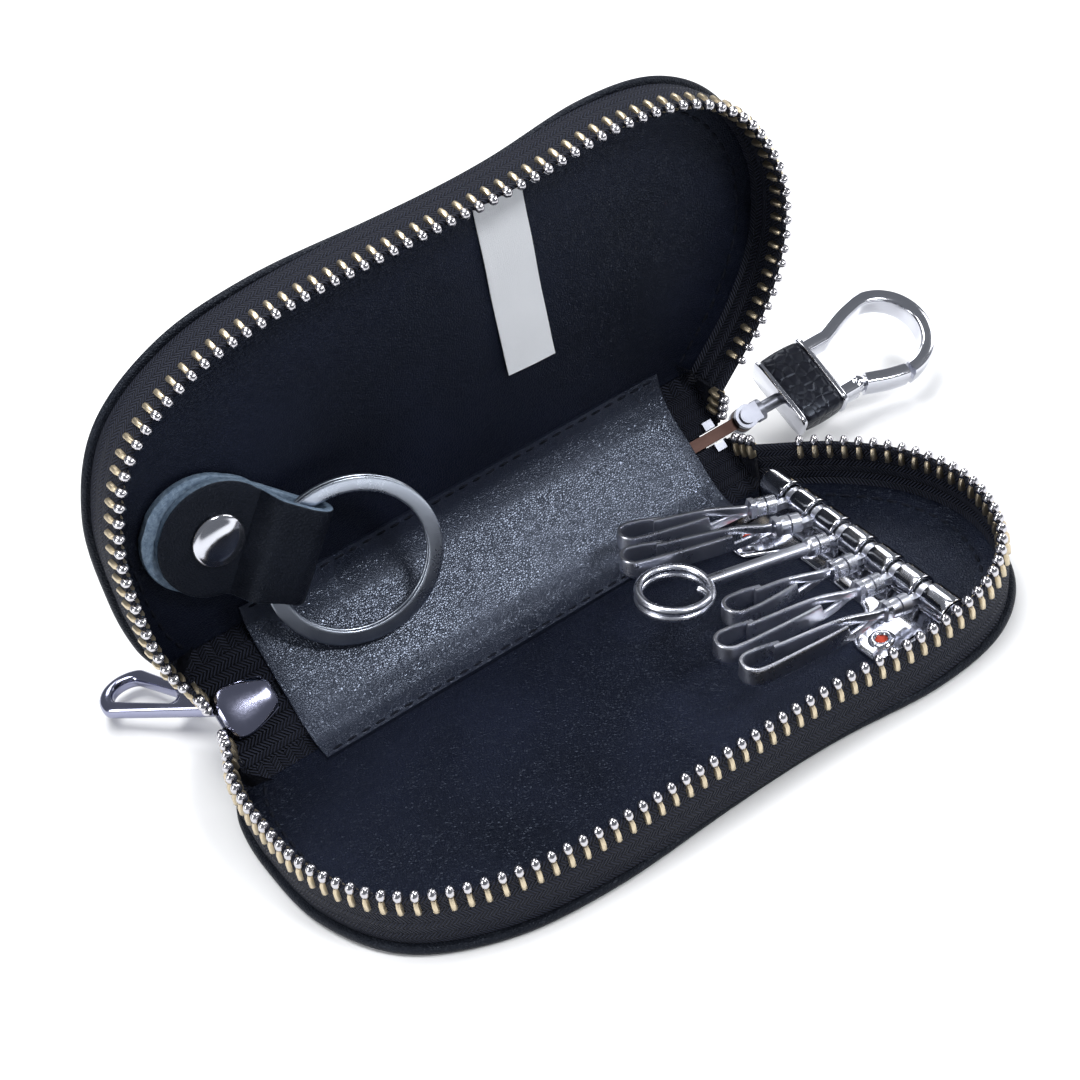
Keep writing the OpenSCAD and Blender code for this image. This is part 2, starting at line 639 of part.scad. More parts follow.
module stud_cap_shape() {
    z = strap_lift + 2 * strap_t + strap_gap;
    dome_r = (stud_r * stud_r + cap_h * cap_h) / (2 * cap_h);
    at_strap() difference() {
        intersection() {
            translate([0, 0, z + cap_h - dome_r]) sphere(r = dome_r, $fn = 96);
            translate([0, 0, z]) cylinder(r = stud_r, h = cap_h + over);
        }
        translate([0, 0, z - over]) cylinder(r = post_r + running, h = over + cap_h * 0.45);
    }
}
module stud_post_shape() {
    on_lid() translate([stud_at[0], stud_at[1], inner_z])
        cylinder(r = post_r, h = strap_lift + 2 * strap_t + strap_gap + cap_h * 0.4);
}
module ring_shape() {
    at_strap() translate([ring_pivot_u, 0, ring_z]) rotate([0, -ring_tilt, 0])
        translate([ring_u - ring_pivot_u, 0, -ring_t / 2]) difference() {
            cylinder(r = ring_r, h = ring_t, $fn = 96);
            translate([0, 0, -over]) cylinder(r = ring_r - ring_w, h = ring_t + 2 * over, $fn = 96);
        }
}

// The sewn-in label, blank on both faces.
label_w = 8.6;
label_l = 32;
label_t = 0.25;
// Distance from the zip line to the label's sewn end.
label_inset = 2;
label_at = [case_l / 2 * 0.229, label_inset + label_l - case_d * 0.98];
label_turn = 3;
module label_shape() {
    on_lid() translate([label_at[0], label_at[1], inner_z]) rotate([0, 0, label_turn])
        translate([-label_w / 2, -label_l, 0]) cube([label_w, label_l, label_t]);
}

// Snap hook, in the shut case's frame: it points along +x from the lug sewn into the spine's end.
lug_l = 8;
lug_t = 1;
lug_x0 = lining_x[1] - tab_under / 2;
pin_reach = 4.6;
pin_x = lug_x0 + lug_l + pin_reach;
yoke_r = 0.9;
yoke_t = 1;
cheek_r = 2;
block_turn = 74;
post_gap = 0.5;
neck_l = 4.4;
post_l = 5.4;
collar_t = 1.2;
pin_head = 0.6;
post_x = pin_x + cheek_r + post_gap;
block_x = post_x + neck_l;
swivel_r = 1.1;
lug_y = -leather_t / 2 - lug_t / 2;
module lug_bar_shut() {
    translate([lug_x0, lug_y - lug_t / 2, mid_z - tab_gap + loose / 2])
        cube([pin_x - lug_x0, lug_t, 2 * tab_gap - loose]);
}
module lug_shut() {
    difference() {
        union() {
            lug_bar_shut();
            translate([pin_x, lug_y, mid_z]) rotate([90, 0, 0])
                cylinder(r = cheek_r, h = lug_t, center = true);
        }
        translate([pin_x, lug_y, mid_z]) rotate([90, 0, 0])
            cylinder(r = yoke_r + running, h = lug_t + over, center = true);
    }
}
module yoke_shut() {
    difference() {
        union() {
            for (s = [-1, 1]) translate([pin_x, lug_y + s * (lug_t / 2 + loose + yoke_t / 2), mid_z]) {
                rotate([90, 0, 0]) cylinder(r = cheek_r, h = yoke_t, center = true);
                translate([0, -yoke_t / 2, -cheek_r * 0.8]) cube([post_x - pin_x, yoke_t, cheek_r * 1.6]);
            }
            translate([post_x - weld, lug_y, mid_z]) rotate([0, 90, 0])
                cylinder(r = lug_t / 2 + loose + yoke_t, h = collar_t);
            translate([post_x - weld + collar_t, lug_y, mid_z]) rotate([0, 90, 0])
                cylinder(r = swivel_r, h = post_l);
        }
        translate([pin_x, lug_y, mid_z]) rotate([90, 0, 0])
            cylinder(r = yoke_r + running, h = 6 * yoke_t, center = true);
    }
}
module pin_shut() {
    reach = 2 * (lug_t / 2 + loose + yoke_t);
    translate([pin_x, lug_y, mid_z]) rotate([90, 0, 0]) {
        cylinder(r = yoke_r, h = reach, center = true);
        for (s = [-1, 1])
            translate([0, 0, s * (reach + pin_head) / 2])
                cylinder(r = yoke_r * 1.5, h = pin_head, center = true);
    }
}
// The block and hook swivel about the yoke's post: their frame has +x along the hook, y across, z thick.
module at_block() {
    on_spine() translate([block_x, lug_y, mid_z]) rotate([block_turn, 0, 0]) children();
}
band_t = 0.8;
frame_w = 1.3;
bore_l = 3;
module block_core() {
    difference() {
        union() {
            for (x = [0, block_l - frame_w])
                translate([x, -block_w / 2, -block_t / 2]) cube([frame_w, block_w, block_t]);
            translate([frame_w / 2, -block_w / 2 + band_t, -block_t / 2 + band_t])
                cube([block_l - frame_w, block_w - 2 * band_t, block_t - 2 * band_t]);
        }
        translate([-over, 0, 0]) rotate([0, 90, 0]) cylinder(r = swivel_r + running, h = over + bore_l);
    }
}
module band_core() {
    difference() {
        translate([frame_w, -block_w / 2, -block_t / 2]) cube([block_l - 2 * frame_w, block_w, block_t]);
        translate([0, -block_w / 2 + band_t, -block_t / 2 + band_t])
            cube([block_l, block_w - 2 * band_t, block_t - 2 * band_t]);
    }
}
leg_v = block_w * 0.36;
bow_u = block_l + bow_l - bow_r;
gate_foot = 3.2;
gate_pin_u = block_l + gate_foot;
gate_pin_r = 0.55;
gate_tip_angle = -28;
bow_mid = bow_r - bow_w / 2;
// Points of the bar's two edges down one side, from the bow to the foot on the block.
module leg_area(s, u0, u1) {
    intersection() {
        polygon([[block_l, s * (leg_v - bow_w / 2)], [block_l, s * (leg_v + bow_w / 2)],
            [gate_pin_u + ear_r, s * (leg_v + bow_w / 2)], [bow_u - bow_r * 0.45, s * bow_r * 0.9],
            [bow_u, s * bow_r], [bow_u, s * (bow_r - bow_w)],
            [bow_u - bow_r * 0.45, s * (bow_r * 0.9 - bow_w)],
            [gate_pin_u + ear_r, s * (leg_v - bow_w / 2)]]);
        translate([u0, -2 * bow_r]) square([u1 - u0, 4 * bow_r]);
    }
}
module bow_core() {
    difference() {
        union() {
            translate([0, 0, -bow_t / 2]) linear_extrude(bow_t) {
                difference() {
                    translate([bow_u, 0]) circle(bow_r, $fn = 96);
                    translate([bow_u, 0]) circle(bow_r - bow_w, $fn = 96);
                    translate([bow_u - 2 * bow_r, -2 * bow_r]) square([2 * bow_r, 4 * bow_r]);
                }
                leg_area(1, block_l, bow_u);
                leg_area(-1, gate_end_u + gate_gap, bow_u);
                leg_area(-1, block_l, gate_pin_u - ear_r * 0.4);
                translate([gate_pin_u, -leg_v]) circle(ear_r);
            }
        }
        // Room for the gate's knuckle between the two ears
        translate([gate_pin_u - ear_r - loose, -leg_v - bow_w, -bow_t / 4 - loose / 2])
            cube([2 * ear_r + 2 * loose, 2 * bow_w, bow_t / 2 + loose]);
    }
    translate([gate_pin_u, -leg_v, 0]) cylinder(r = gate_pin_r, h = bow_t, center = true);
}
ear_r = bow_w * 0.43;
gate_end_u = bow_u - bow_w * 0.3;
// Gap at the gate's tip, wide enough for its outer corner to swing past.
gate_gap = 0.8;
module gate_core() {
    difference() {
        union() {
            translate([0, 0, -bow_t / 2]) linear_extrude(bow_t) difference() {
                leg_area(-1, gate_pin_u, gate_end_u);
                translate([gate_pin_u, -leg_v]) circle(ear_r + loose);
            }
            translate([0, 0, -bow_t / 4]) linear_extrude(bow_t / 2) {
                leg_area(-1, gate_pin_u, gate_end_u);
                translate([gate_pin_u, -leg_v]) circle(ear_r);
            }
        }
        translate([gate_pin_u, -leg_v, 0]) cylinder(r = gate_pin_r + running, h = 2 * bow_t, center = true);
    }
}

module leather_lower() { color([0.07, 0.08, 0.11]) on_base() half_leather(); }
module board_lower() { color([0.35, 0.3, 0.25]) on_base() half_board(); }
module zip_tape_lower() { color([0.06, 0.07, 0.12]) on_base() half_tape(); }
module lining_lower() { color([0.1, 0.12, 0.18]) on_base() half_lining(); }
module zip_teeth_lower() { color([0.8, 0.78, 0.72]) on_base() chain(0); }
module leather_spine() { color([0.08, 0.09, 0.12]) on_spine() leather_spine_shut(); }
module lining_spine() { color([0.12, 0.14, 0.2]) on_spine() lining_spine_shut(); }
module zip_tape_ends() { color([0.06, 0.07, 0.12]) on_spine() tape_ends_shut(); }
module zip_stop() {
    color([0.8, 0.78, 0.72]) on_spine() for (s = [-1, 1])
        translate([end_x - stop_back, chain_y - leg_out, mid_z + s * (tab_gap + tooth_r) - tooth_r * 0.9])
            difference() {
                cube([stop_l, 2 * leg_out, 1.8 * tooth_r]);
                translate([-over, leg_out - board_t / 2, -over])
                    cube([stop_l + 2 * over, board_t, 1.8 * tooth_r + 2 * over]);
            }
}
module zip_tape_bends() { color([0.06, 0.07, 0.12]) on_spine() both_halves() bends_tape_half(); }
module zip_teeth_bends() { color([0.8, 0.78, 0.72]) on_spine() both_halves() bends_teeth_half(); }
module slider_body() { color([0.82, 0.83, 0.86]) on_spine() slider_shut(); }
module zip_pull() {
    color([0.82, 0.83, 0.86]) on_spine() translate([pull_x, bail_y, mid_z])
        rotate([pull_turn, 0, 0]) pull_shape();
}
module leather_upper() { color([0.07, 0.08, 0.11]) on_lid() half_leather(); }
module board_upper() { color([0.35, 0.3, 0.25]) on_lid() half_board(); }
module zip_tape_upper() { color([0.06, 0.07, 0.12]) on_lid() half_tape(); }
module lining_upper() { color([0.1, 0.12, 0.18]) on_lid() half_lining(); }
module zip_teeth_upper() { color([0.8, 0.78, 0.72]) on_lid() chain(0.5); }
module blank_label() { color("white") label_shape(); }
module stud_post() { color([0.8, 0.82, 0.85]) stud_post_shape(); }
module ring_strap() { color([0.09, 0.1, 0.14]) strap_shape(); }
module stud_cap() { color([0.85, 0.86, 0.9]) stud_cap_shape(); }
module key_ring() { color([0.8, 0.82, 0.87]) ring_shape(); }
module key_row_plate() { color([0.78, 0.8, 0.86]) on_base() row_plate_shape(); }
module row_barrel() { color([0.78, 0.8, 0.86]) on_base() barrel_shape(); }
module plate_rivets() { color([0.7, 0.5, 0.48]) on_base() rivets_shape(); }
module hook_rod() { color([0.75, 0.76, 0.8]) on_base() rod_shape(); }
module hook_link(k) { color([0.8, 0.82, 0.87]) link_shape(k); }
module clip_hook(k) { color([0.75, 0.77, 0.84]) at_hook(k) clip_shape(reaches[k - 1]); }
module latch(k) { color([0.72, 0.74, 0.82]) at_hook(k) latch_shape(reaches[k - 1]); }
module round_hook() { color([0.78, 0.8, 0.86]) at_hook(3) round_shape(); }
module end_lug() { color([0.72, 0.5, 0.4]) on_spine() lug_shut(); }
module swivel_yoke() { color([0.82, 0.84, 0.88]) on_spine() yoke_shut(); }
module yoke_pin() { color([0.82, 0.84, 0.88]) on_spine() pin_shut(); }
module snap_block() { color([0.82, 0.84, 0.88]) at_block() block_core(); }
module block_band() { color([0.1, 0.1, 0.13]) at_block() band_core(); }
module snap_bow() { color([0.84, 0.85, 0.88]) at_block() bow_core(); }
module snap_gate() { color([0.84, 0.85, 0.88]) at_block() gate_core(); }

leather_lower();
board_lower();
zip_tape_lower();
lining_lower();
zip_teeth_lower();
leather_spine();
lining_spine();
zip_tape_ends();
zip_tape_bends();
zip_teeth_bends();
zip_stop();
slider_body();
zip_pull();
leather_upper();
board_upper();
zip_tape_upper();
lining_upper();
zip_teeth_upper();
blank_label();
stud_post();
ring_strap();
stud_cap();
key_ring();
key_row_plate();
row_barrel();
plate_rivets();
hook_rod();
hook_link(1);  // hook_link_1
hook_link(2);  // hook_link_2
hook_link(3);  // hook_link_3
hook_link(4);  // hook_link_4
hook_link(5);  // hook_link_5
hook_link(6);  // hook_link_6
clip_hook(1);  // clip_hook_1
clip_hook(2);  // clip_hook_2
round_hook();
clip_hook(4);  // clip_hook_4
clip_hook(5);  // clip_hook_5
clip_hook(6);  // clip_hook_6
latch(1);  // latch_1
latch(2);  // latch_2
latch(4);  // latch_4
latch(5);  // latch_5
latch(6);  // latch_6
end_lug();
swivel_yoke();
yoke_pin();
snap_block();
block_band();
snap_bow();
snap_gate();
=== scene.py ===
# %% [markdown]
# # An open key case, dressed
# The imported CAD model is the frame: it gives each piece's place and how it moves. Here every visible piece gets
# its real surface. Shapes are worked out in millimetres in numpy and turned into metres when the mesh is made.

import json

import bpy
import numpy as np
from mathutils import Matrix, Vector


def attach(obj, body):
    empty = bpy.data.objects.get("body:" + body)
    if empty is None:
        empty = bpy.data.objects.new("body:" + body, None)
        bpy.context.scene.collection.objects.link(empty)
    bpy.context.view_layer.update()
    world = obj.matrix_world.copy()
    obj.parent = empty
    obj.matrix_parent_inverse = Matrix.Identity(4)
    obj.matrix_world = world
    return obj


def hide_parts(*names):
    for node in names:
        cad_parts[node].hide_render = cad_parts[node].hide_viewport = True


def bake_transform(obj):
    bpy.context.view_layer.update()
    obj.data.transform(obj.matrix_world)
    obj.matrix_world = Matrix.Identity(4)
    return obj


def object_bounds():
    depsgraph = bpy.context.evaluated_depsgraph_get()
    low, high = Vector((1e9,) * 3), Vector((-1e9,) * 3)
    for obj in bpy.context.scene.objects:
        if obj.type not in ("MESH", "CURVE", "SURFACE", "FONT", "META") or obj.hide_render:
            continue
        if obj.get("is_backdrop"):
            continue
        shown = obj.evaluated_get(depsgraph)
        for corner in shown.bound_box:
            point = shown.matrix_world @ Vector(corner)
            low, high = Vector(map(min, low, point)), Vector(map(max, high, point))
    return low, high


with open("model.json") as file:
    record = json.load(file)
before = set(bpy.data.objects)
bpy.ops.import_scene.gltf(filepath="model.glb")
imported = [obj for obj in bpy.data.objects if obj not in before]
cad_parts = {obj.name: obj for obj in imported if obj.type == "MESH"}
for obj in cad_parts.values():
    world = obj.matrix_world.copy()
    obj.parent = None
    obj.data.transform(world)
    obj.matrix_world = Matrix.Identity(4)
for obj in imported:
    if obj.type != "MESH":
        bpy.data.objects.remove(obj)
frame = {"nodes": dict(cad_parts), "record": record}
cad_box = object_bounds()

# %% [markdown]
# ## The camera and the light
# The photograph is taken from in front and above, with the camera rolled a little. A long lens keeps the case
# from looking stretched. The camera comes first, so that every later step can be looked at through it.

# %% Camera
scene = bpy.context.scene
scene.view_settings.view_transform = "Standard"
camera = bpy.data.objects.new("camera", bpy.data.cameras.new("camera"))
camera.data.sensor_width = 36  # millimetres of film over the picture's 1080 pixels
camera.data.lens = 74.2  # millimetres, which is 2226 of those pixels
camera.data.clip_start = 0.01
camera.location = (-0.1052, -0.2150, 0.2325)
camera.rotation_euler = np.radians([49.62, 11.04, -33.02])
scene.collection.objects.link(camera)
scene.camera = camera
print("camera", [round(v, 3) for v in camera.location])

# %% [markdown]
# Soft boxes light a studio shot of leather and plated metal: a broad one overhead, one behind for the lower
# half, a small one in front whose reflection is the sheen along the spine, and one at each side for the edges. A
# pale floor fills the shadows. The world stays dark, since polished metal needs something dark to reflect.


# %% Lights, floor and world
def area_light(name, place, aim, size, power):
    """A rectangular lamp at place that faces aim, all in metres."""
    lamp = bpy.data.lights.new(name, "AREA")
    lamp.shape, lamp.size, lamp.size_y, lamp.energy = "RECTANGLE", size[0], size[1], power
    obj = bpy.data.objects.new(name, lamp)
    obj.location = place
    away = np.array(place) - np.array(aim)
    flat = np.hypot(away[0], away[1])
    obj.rotation_euler = (np.arctan2(flat, away[2]), 0, np.arctan2(away[0], -away[1]))
    scene.collection.objects.link(obj)


# Name, place, aim, size and power of each lamp.
for lamp_row in (("top_box", (-0.06, 0.16, 0.70), (0, 0.02, 0.02), (0.46, 0.34), 4.6),
                 ("tray_box", (0.27, 0.52, 0.50), (0, 0, 0.01), (0.40, 0.28), 1.7),
                 ("spine_box", (0.22, -0.41, 0.54), (0, 0.034, 0.008), (0.17, 0.12), 2.5),
                 ("left_box", (-0.62, 0.02, 0.30), (0, 0, 0.02), (0.2, 0.4), 1.8),
                 ("right_box", (0.62, -0.10, 0.34), (0.02, 0, 0.02), (0.2, 0.34), 1.4)):
    area_light(*lamp_row)

world = bpy.data.worlds.new("studio")
world.use_nodes = True
world.node_tree.nodes["Background"].inputs["Color"].default_value = (0.20, 0.21, 0.23, 1)
scene.world = world

FLOOR_HALF, FLOOR_Z = 3.0, -0.0002
corners = [(x * FLOOR_HALF, y * FLOOR_HALF, FLOOR_Z) for x, y in ((-1, -1), (1, -1), (1, 1), (-1, 1))]
floor_mesh = bpy.data.meshes.new("floor")
floor_mesh.from_pydata(corners, [], [(0, 1, 2, 3)])
floor = bpy.data.objects.new("floor", floor_mesh)
scene.collection.objects.link(floor)
floor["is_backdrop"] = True
floor_paint = bpy.data.materials.new("floor")
floor_paint.use_nodes = True
paint = floor_paint.node_tree.nodes["Principled BSDF"]
paint.inputs["Base Color"].default_value = (0.88, 0.885, 0.895, 1)
paint.inputs["Roughness"].default_value = 0.8
floor_mesh.materials.append(floor_paint)

# %% [markdown]
# ## Sizes and places
# The case is worked out shut, with its spine upright in the plane y = 0, and opened by turning: the spine about
# the lower fold, and the lid about the upper one. With both folds equally open the two halves mirror each other
# across the plane through the middle of the spine, so each half is made once and mirrored.

# %% The case's own frames
MM = 0.001
QUARTER = np.pi / 2
FOLD = np.radians(46)
CASE_L, CASE_D, CASE_T = 118.0, 54.0, 23.0
LEATHER, BOARD, LINING, TAPE = 1.4, 0.6, 0.5, 0.8
AXIS = LEATHER / 2
MID = CASE_T / 2
INNER = LEATHER + BOARD + LINING
FRONT = np.array([0, CASE_D / 2, 0])
SPINE_UP = np.array([0, np.sin(FOLD), np.cos(FOLD)])
SPINE_IN = np.array([0, -np.cos(FOLD), np.sin(FOLD)])
LOWER_FOLD = FRONT + [0, 0, AXIS]
UPPER_FOLD = LOWER_FOLD + SPINE_UP * (CASE_T - 2 * AXIS)
SPINE_MIDDLE = (LOWER_FOLD + UPPER_FOLD) / 2


def spun(p, angle, i=0, j=1):
    """Points or headings turned by an angle from axis i towards axis j: i cos - j sin and i sin + j cos. Turned
    by a quarter, a heading in the plane gives the direction square to it, on its left."""
    p = np.asarray(p, float)
    q = p.copy()
    q[..., i] = p[..., i] * np.cos(angle) - p[..., j] * np.sin(angle)
    q[..., j] = p[..., i] * np.sin(angle) + p[..., j] * np.cos(angle)
    return q


def on_base(p):
    """From the shut case's frame to the lower half."""
    return np.asarray(p, float) + FRONT


def on_spine(p):
    """From the shut case's frame to the spine, turned open about the lower fold."""
    return spun(np.asarray(p, float) - [0, 0, AXIS], FOLD, 2, 1) + LOWER_FOLD


def mirrored(p):
    """Across the plane through the spine's middle, square to its rise: each point moves by twice its distance."""
    p = np.asarray(p, float)
    return p - 2 * ((p - SPINE_MIDDLE) @ SPINE_UP)[..., None] * SPINE_UP


def on_lid(p):
    """From the shut case's frame to the lid: the lower half's place, mirrored."""
    return mirrored(on_base(p))


print("upper fold at", UPPER_FOLD.round(2))

# %% [markdown]
# ## Turning arrays into meshes
# Nearly every piece is one closed sheet of quads: rings of points carried along a path, wrapped round, and
# closed at both ends. A helper makes the faces, and turns them outwards by the sign of the volume they enclose.


# %% Rings to faces
def ring_faces(rings, loop=False):
    """Points and faces of rings, an array of m rings by n points: quads join neighbouring rings, and a fan to
    the ring's middle closes each end, unless the last ring joins the first."""
    m, n = rings.shape[:2]
    row, col = np.meshgrid(np.arange(m if loop else m - 1), np.arange(n), indexing="ij")
    up, right = (row + 1) % m, (col + 1) % n
    quads = np.stack([row * n + col, up * n + col, up * n + right, row * n + right], -1).reshape(-1, 4)
    points = rings.reshape(-1, 3)
    if loop:
        return points, quads.tolist()
    points = np.vstack([points, rings[0].mean(0), rings[-1].mean(0)])
    first, nxt, end = np.arange(n), (np.arange(n) + 1) % n, (m - 1) * n
    low = np.stack([np.full(n, m * n), first, nxt], -1)
    high = np.stack([np.full(n, m * n + 1), end + nxt, end + first], -1)
    return points, quads.tolist() + low.tolist() + high.tolist()


def joined(parts):
    """Several (points, faces) pairs as one: each pair's face numbers move up by the points before it."""
    points, faces, start = [], [], 0
    for p, f in parts:
        points.append(p)
        faces += (f if start == 0 else [[i + start for i in face] for face in f])
        start += len(p)
    return np.vstack(points), faces


def placed(where, shapes, loop=False):
    """Ringed shapes taken to their place by a function, as (points, faces) pairs."""
    return [ring_faces(where(rings), loop) for rings in shapes]


def outwards(points, faces):
    """The faces as they are if the volume they enclose, the sum of a.(b x c) / 6 over their triangles, is
    positive, and reversed if it isn't."""
    middle = points.mean(0)
    a, b, c, d = (points[[f[i] for f in faces]] - middle for i in (0, 1, 2, -1))
    volume = np.einsum("ij,ij", a, np.cross(b, c)) + np.einsum("ij,ij", a, np.cross(c, d))
    return faces if volume > 0 else [f[::-1] for f in faces]


def piece(name, parts, body, material, stands_for=(), uv=None, marks=None, sharp=50):
    """A finished object from (points, faces) pairs in millimetres. body is the name of the body that it is attached
    to. A tuple (a, b, start, end) in its place is not used: the piece then stays where it is, attached to no body.
    uv is one pair of numbers for each point, marks a number each."""
    points, faces = joined([(p, outwards(p, f)) for p, f in parts])
    mesh = bpy.data.meshes.new(name)
    mesh.from_pydata((points * MM).tolist(), [], faces)
    if uv is not None:
        corner = np.empty(len(mesh.loops), int)
        mesh.loops.foreach_get("vertex_index", corner)
        layer = mesh.uv_layers.new(name="along")
        layer.data.foreach_set("uv", np.asarray(uv, float)[corner].ravel())
    if marks is not None:
        mesh.attributes.new("mark", "FLOAT", "POINT").data.foreach_set("value", np.asarray(marks, float))
    mesh.shade_smooth()
    mesh.set_sharp_from_angle(angle=np.radians(sharp))
    mesh.materials.append(material)
    obj = bpy.data.objects.new(name, mesh)
    scene.collection.objects.link(obj)
    if isinstance(body, str):
        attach(obj, body)
    else:
        a, b, start, end = body
        tuple(np.array(start) * MM)
        tuple(np.array(end) * MM)
        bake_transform(obj)
    if stands_for:
        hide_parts(*stands_for)
    print(f"{name}: {len(points)} points, {len(faces)} faces")
    return obj


HALVES = ("base", "lid")


def both_halves(name, parts, bodies, material, stands_for=((), ()), uv=None):
    """A piece on the lower half and its mirror image on the upper one. {} in the name becomes lower and upper."""
    there = [(mirrored(p), f) for p, f in parts]
    return [piece(name.format(half), p, body, material, nodes, uv=uv)
            for half, p, body, nodes in zip(("lower", "upper"), (parts, there), bodies, stands_for)]


# %% [markdown]
# Two more helpers: a rounded bar section, and a section carried along a path. The section is a superellipse,
# whose exponent sets how square its corners are, so that edges catch the light as a real rolled edge does.


# %% Sections and sweeps
def bar(a, b, n=20, k=4.0):
    """Superellipse with half width a and half height b: |x/a|^k + |y/b|^k = 1. k is 2 for an ellipse and grows
    towards a rectangle."""
    t = (np.arange(n) + 0.5) * 2 * np.pi / n
    c, s = np.cos(t), np.sin(t)
    return np.stack([a * np.sign(c) * np.abs(c) ** (2 / k), b * np.sign(s) * np.abs(s) ** (2 / k)], -1)


def raised(p, z):
    """Points of a plane set at a height, one for all or one for each."""
    return np.c_[p, np.broadcast_to(z, len(p))]


def at_x(x, section):
    """A section of (y, z) pairs set at x."""
    return np.c_[np.full(len(section), x), section]


def around(n):
    """n angles evenly round a circle."""
    return np.arange(n) * 2 * np.pi / n


def slab(x0, x1, half, r, n=14):
    """Rounded rectangle from x0 to x1 with half height half and corner radius r, with n steps along each side
    and four round each corner."""
    t = np.linspace(0, QUARTER, 5)
    xs = np.linspace(x1 - r, x0 + r, n + 1)[1:-1]
    arc = lambda cx, cy, a: np.stack([cx + r * np.cos(t + a), cy + r * np.sin(t + a)], -1)
    top = np.stack([xs, np.full(len(xs), half)], -1)
    return np.vstack([arc(x1 - r, half - r, 0), top, arc(x0 + r, half - r, QUARTER),
                      arc(x0 + r, r - half, np.pi), top[::-1] * [1, -1], arc(x1 - r, r - half, 3 * QUARTER)])


def unit(v):
    """Vectors scaled to length one."""
    return v / np.linalg.norm(v, axis=-1, keepdims=True)


def carried(path, section, side):
    """The section carried along the path: point = path + x * side + y * (tangent x side). section is n points,
    or one set of n for each point of the path, and side one vector, or one for each point."""
    tangent = unit(np.gradient(path, axis=0))
    side = np.broadcast_to(side, path.shape)
    side = unit(side - np.sum(side * tangent, -1, keepdims=True) * tangent)
    up = np.cross(tangent, side)
    section = np.broadcast_to(section, (len(path),) + np.shape(section)[-2:])
    return path[:, None] + section[..., :1] * side[:, None] + section[..., 1:] * up[:, None]


def run_of(p):
    """How far each point of a polyline lies along it: the running sum of its steps' lengths."""
    return np.r_[0, np.cumsum(np.linalg.norm(np.diff(p, axis=0), axis=1))]


def length_of(p):
    """Length of a polyline."""
    return run_of(p)[-1]


def evenly(p, n):
    """n points spaced evenly by length along a polyline p."""
    run = run_of(p)
    s = np.linspace(0, run[-1], n)
    return np.stack([np.interp(s, run, p[:, i]) for i in range(p.shape[1])], -1)


def turned_round(profile, n=64, centre=(0, 0, 0)):
    """Rings of a profile of (radius, height) pairs turned about Z round a centre."""
    t = around(n)
    r, z = profile[:, :1], profile[:, 1:]
    return np.stack([r * np.cos(t), r * np.sin(t), z + 0 * t], -1) + centre


def smooth_curve(ctrl, steps=8):
    """A curve through the points: between two of them it is the cubic whose slope at each point is half the step
    from the point before to the point after."""
    ctrl = np.asarray(ctrl, float)
    p = np.vstack([2 * ctrl[0] - ctrl[1], ctrl, 2 * ctrl[-1] - ctrl[-2]])
    a, b, c, d = (p[i : len(p) - 3 + i, None] for i in range(4))
    t = (np.arange(steps) / steps)[None, :, None]
    q = (2 * b + (c - a) * t + (2 * a - 5 * b + 4 * c - d) * t**2 + (3 * b - a - 3 * c + d) * t**3) / 2
    return np.vstack([q.reshape(-1, ctrl.shape[1]), ctrl[-1:]])


print("helpers ready")

# %% [markdown]
# ## The zip line
# Both halves end in the same lobed outline, where the zip's teeth meet. It is a smooth curve through a few
# points given as shares of the length and depth. Leather, lining, tape and teeth all take their edge from it.

# %% The zip line and its offsets
RIM_SHARES = [(-0.945, 0.01), (-0.985, 0.12), (-1.0, 0.3), (-0.98, 0.56), (-0.875, 0.79), (-0.67, 0.925),
              (-0.41, 0.975), (-0.07, 0.98), (0.27, 0.982), (0.56, 1.0), (0.78, 0.955), (0.93, 0.82), (1.0, 0.6),
              (0.966, 0.38), (0.856, 0.19), (0.7, 0.03)]
RIM = evenly(smooth_curve(np.array(RIM_SHARES) * [CASE_L / 2, -CASE_D], 16), 481)
RIM_LENGTH = length_of(RIM)


def rim_offset(d, waist=0.0):
    """The zip line moved outwards by d: each point moves along its normal. waist draws the leather in, by a bell
    curve that is highest a little right of the middle."""
    normal = spun(unit(np.gradient(RIM, axis=0)), -QUARTER)
    dip = waist * np.exp(-(((RIM[:, 0] / (CASE_L / 2) - 0.1) / 0.42) ** 2))
    return RIM + normal * (d - dip)[:, None]


def cut_square(p, y):
    """The part of an open curve in front of the line at y, its ends set on that line."""
    inside = np.flatnonzero(p[:, 1] < y)
    a, b = inside[0], inside[-1]
    mix = lambda i, j: p[i] + (p[j] - p[i]) * (y - p[i, 1]) / (p[j, 1] - p[i, 1])
    ends = [mix(a - 1, a)] if a else [], [mix(b, b + 1)] if b + 1 < len(p) else []
    return np.vstack([*ends[0], p[a : b + 1], *ends[1]])


print("zip line", round(RIM_LENGTH, 1), "mm")

# %% [markdown]
# ## Finishes
# Three shader groups carry the effects that several materials share: leather grain, a herringbone weave and fine
# rubbing on metal. A group only puts out masks, heights and roughness. The shader itself stays in each material,
# because an exported model can read it there.


# %% Shader groups
def new_group(name, inputs, outputs):
    """An empty shader group with named number or colour sockets, given as (name, type, default)."""
    group = bpy.data.node_groups.new(name, "ShaderNodeTree")
    for title, kind, value in inputs:
        socket = group.interface.new_socket(title, in_out="INPUT", socket_type="NodeSocket" + kind)
        if value is not None:
            socket.default_value = value
    for title, kind in outputs:
        group.interface.new_socket(title, in_out="OUTPUT", socket_type="NodeSocket" + kind)
    return group, group.nodes.new("NodeGroupInput"), group.nodes.new("NodeGroupOutput")


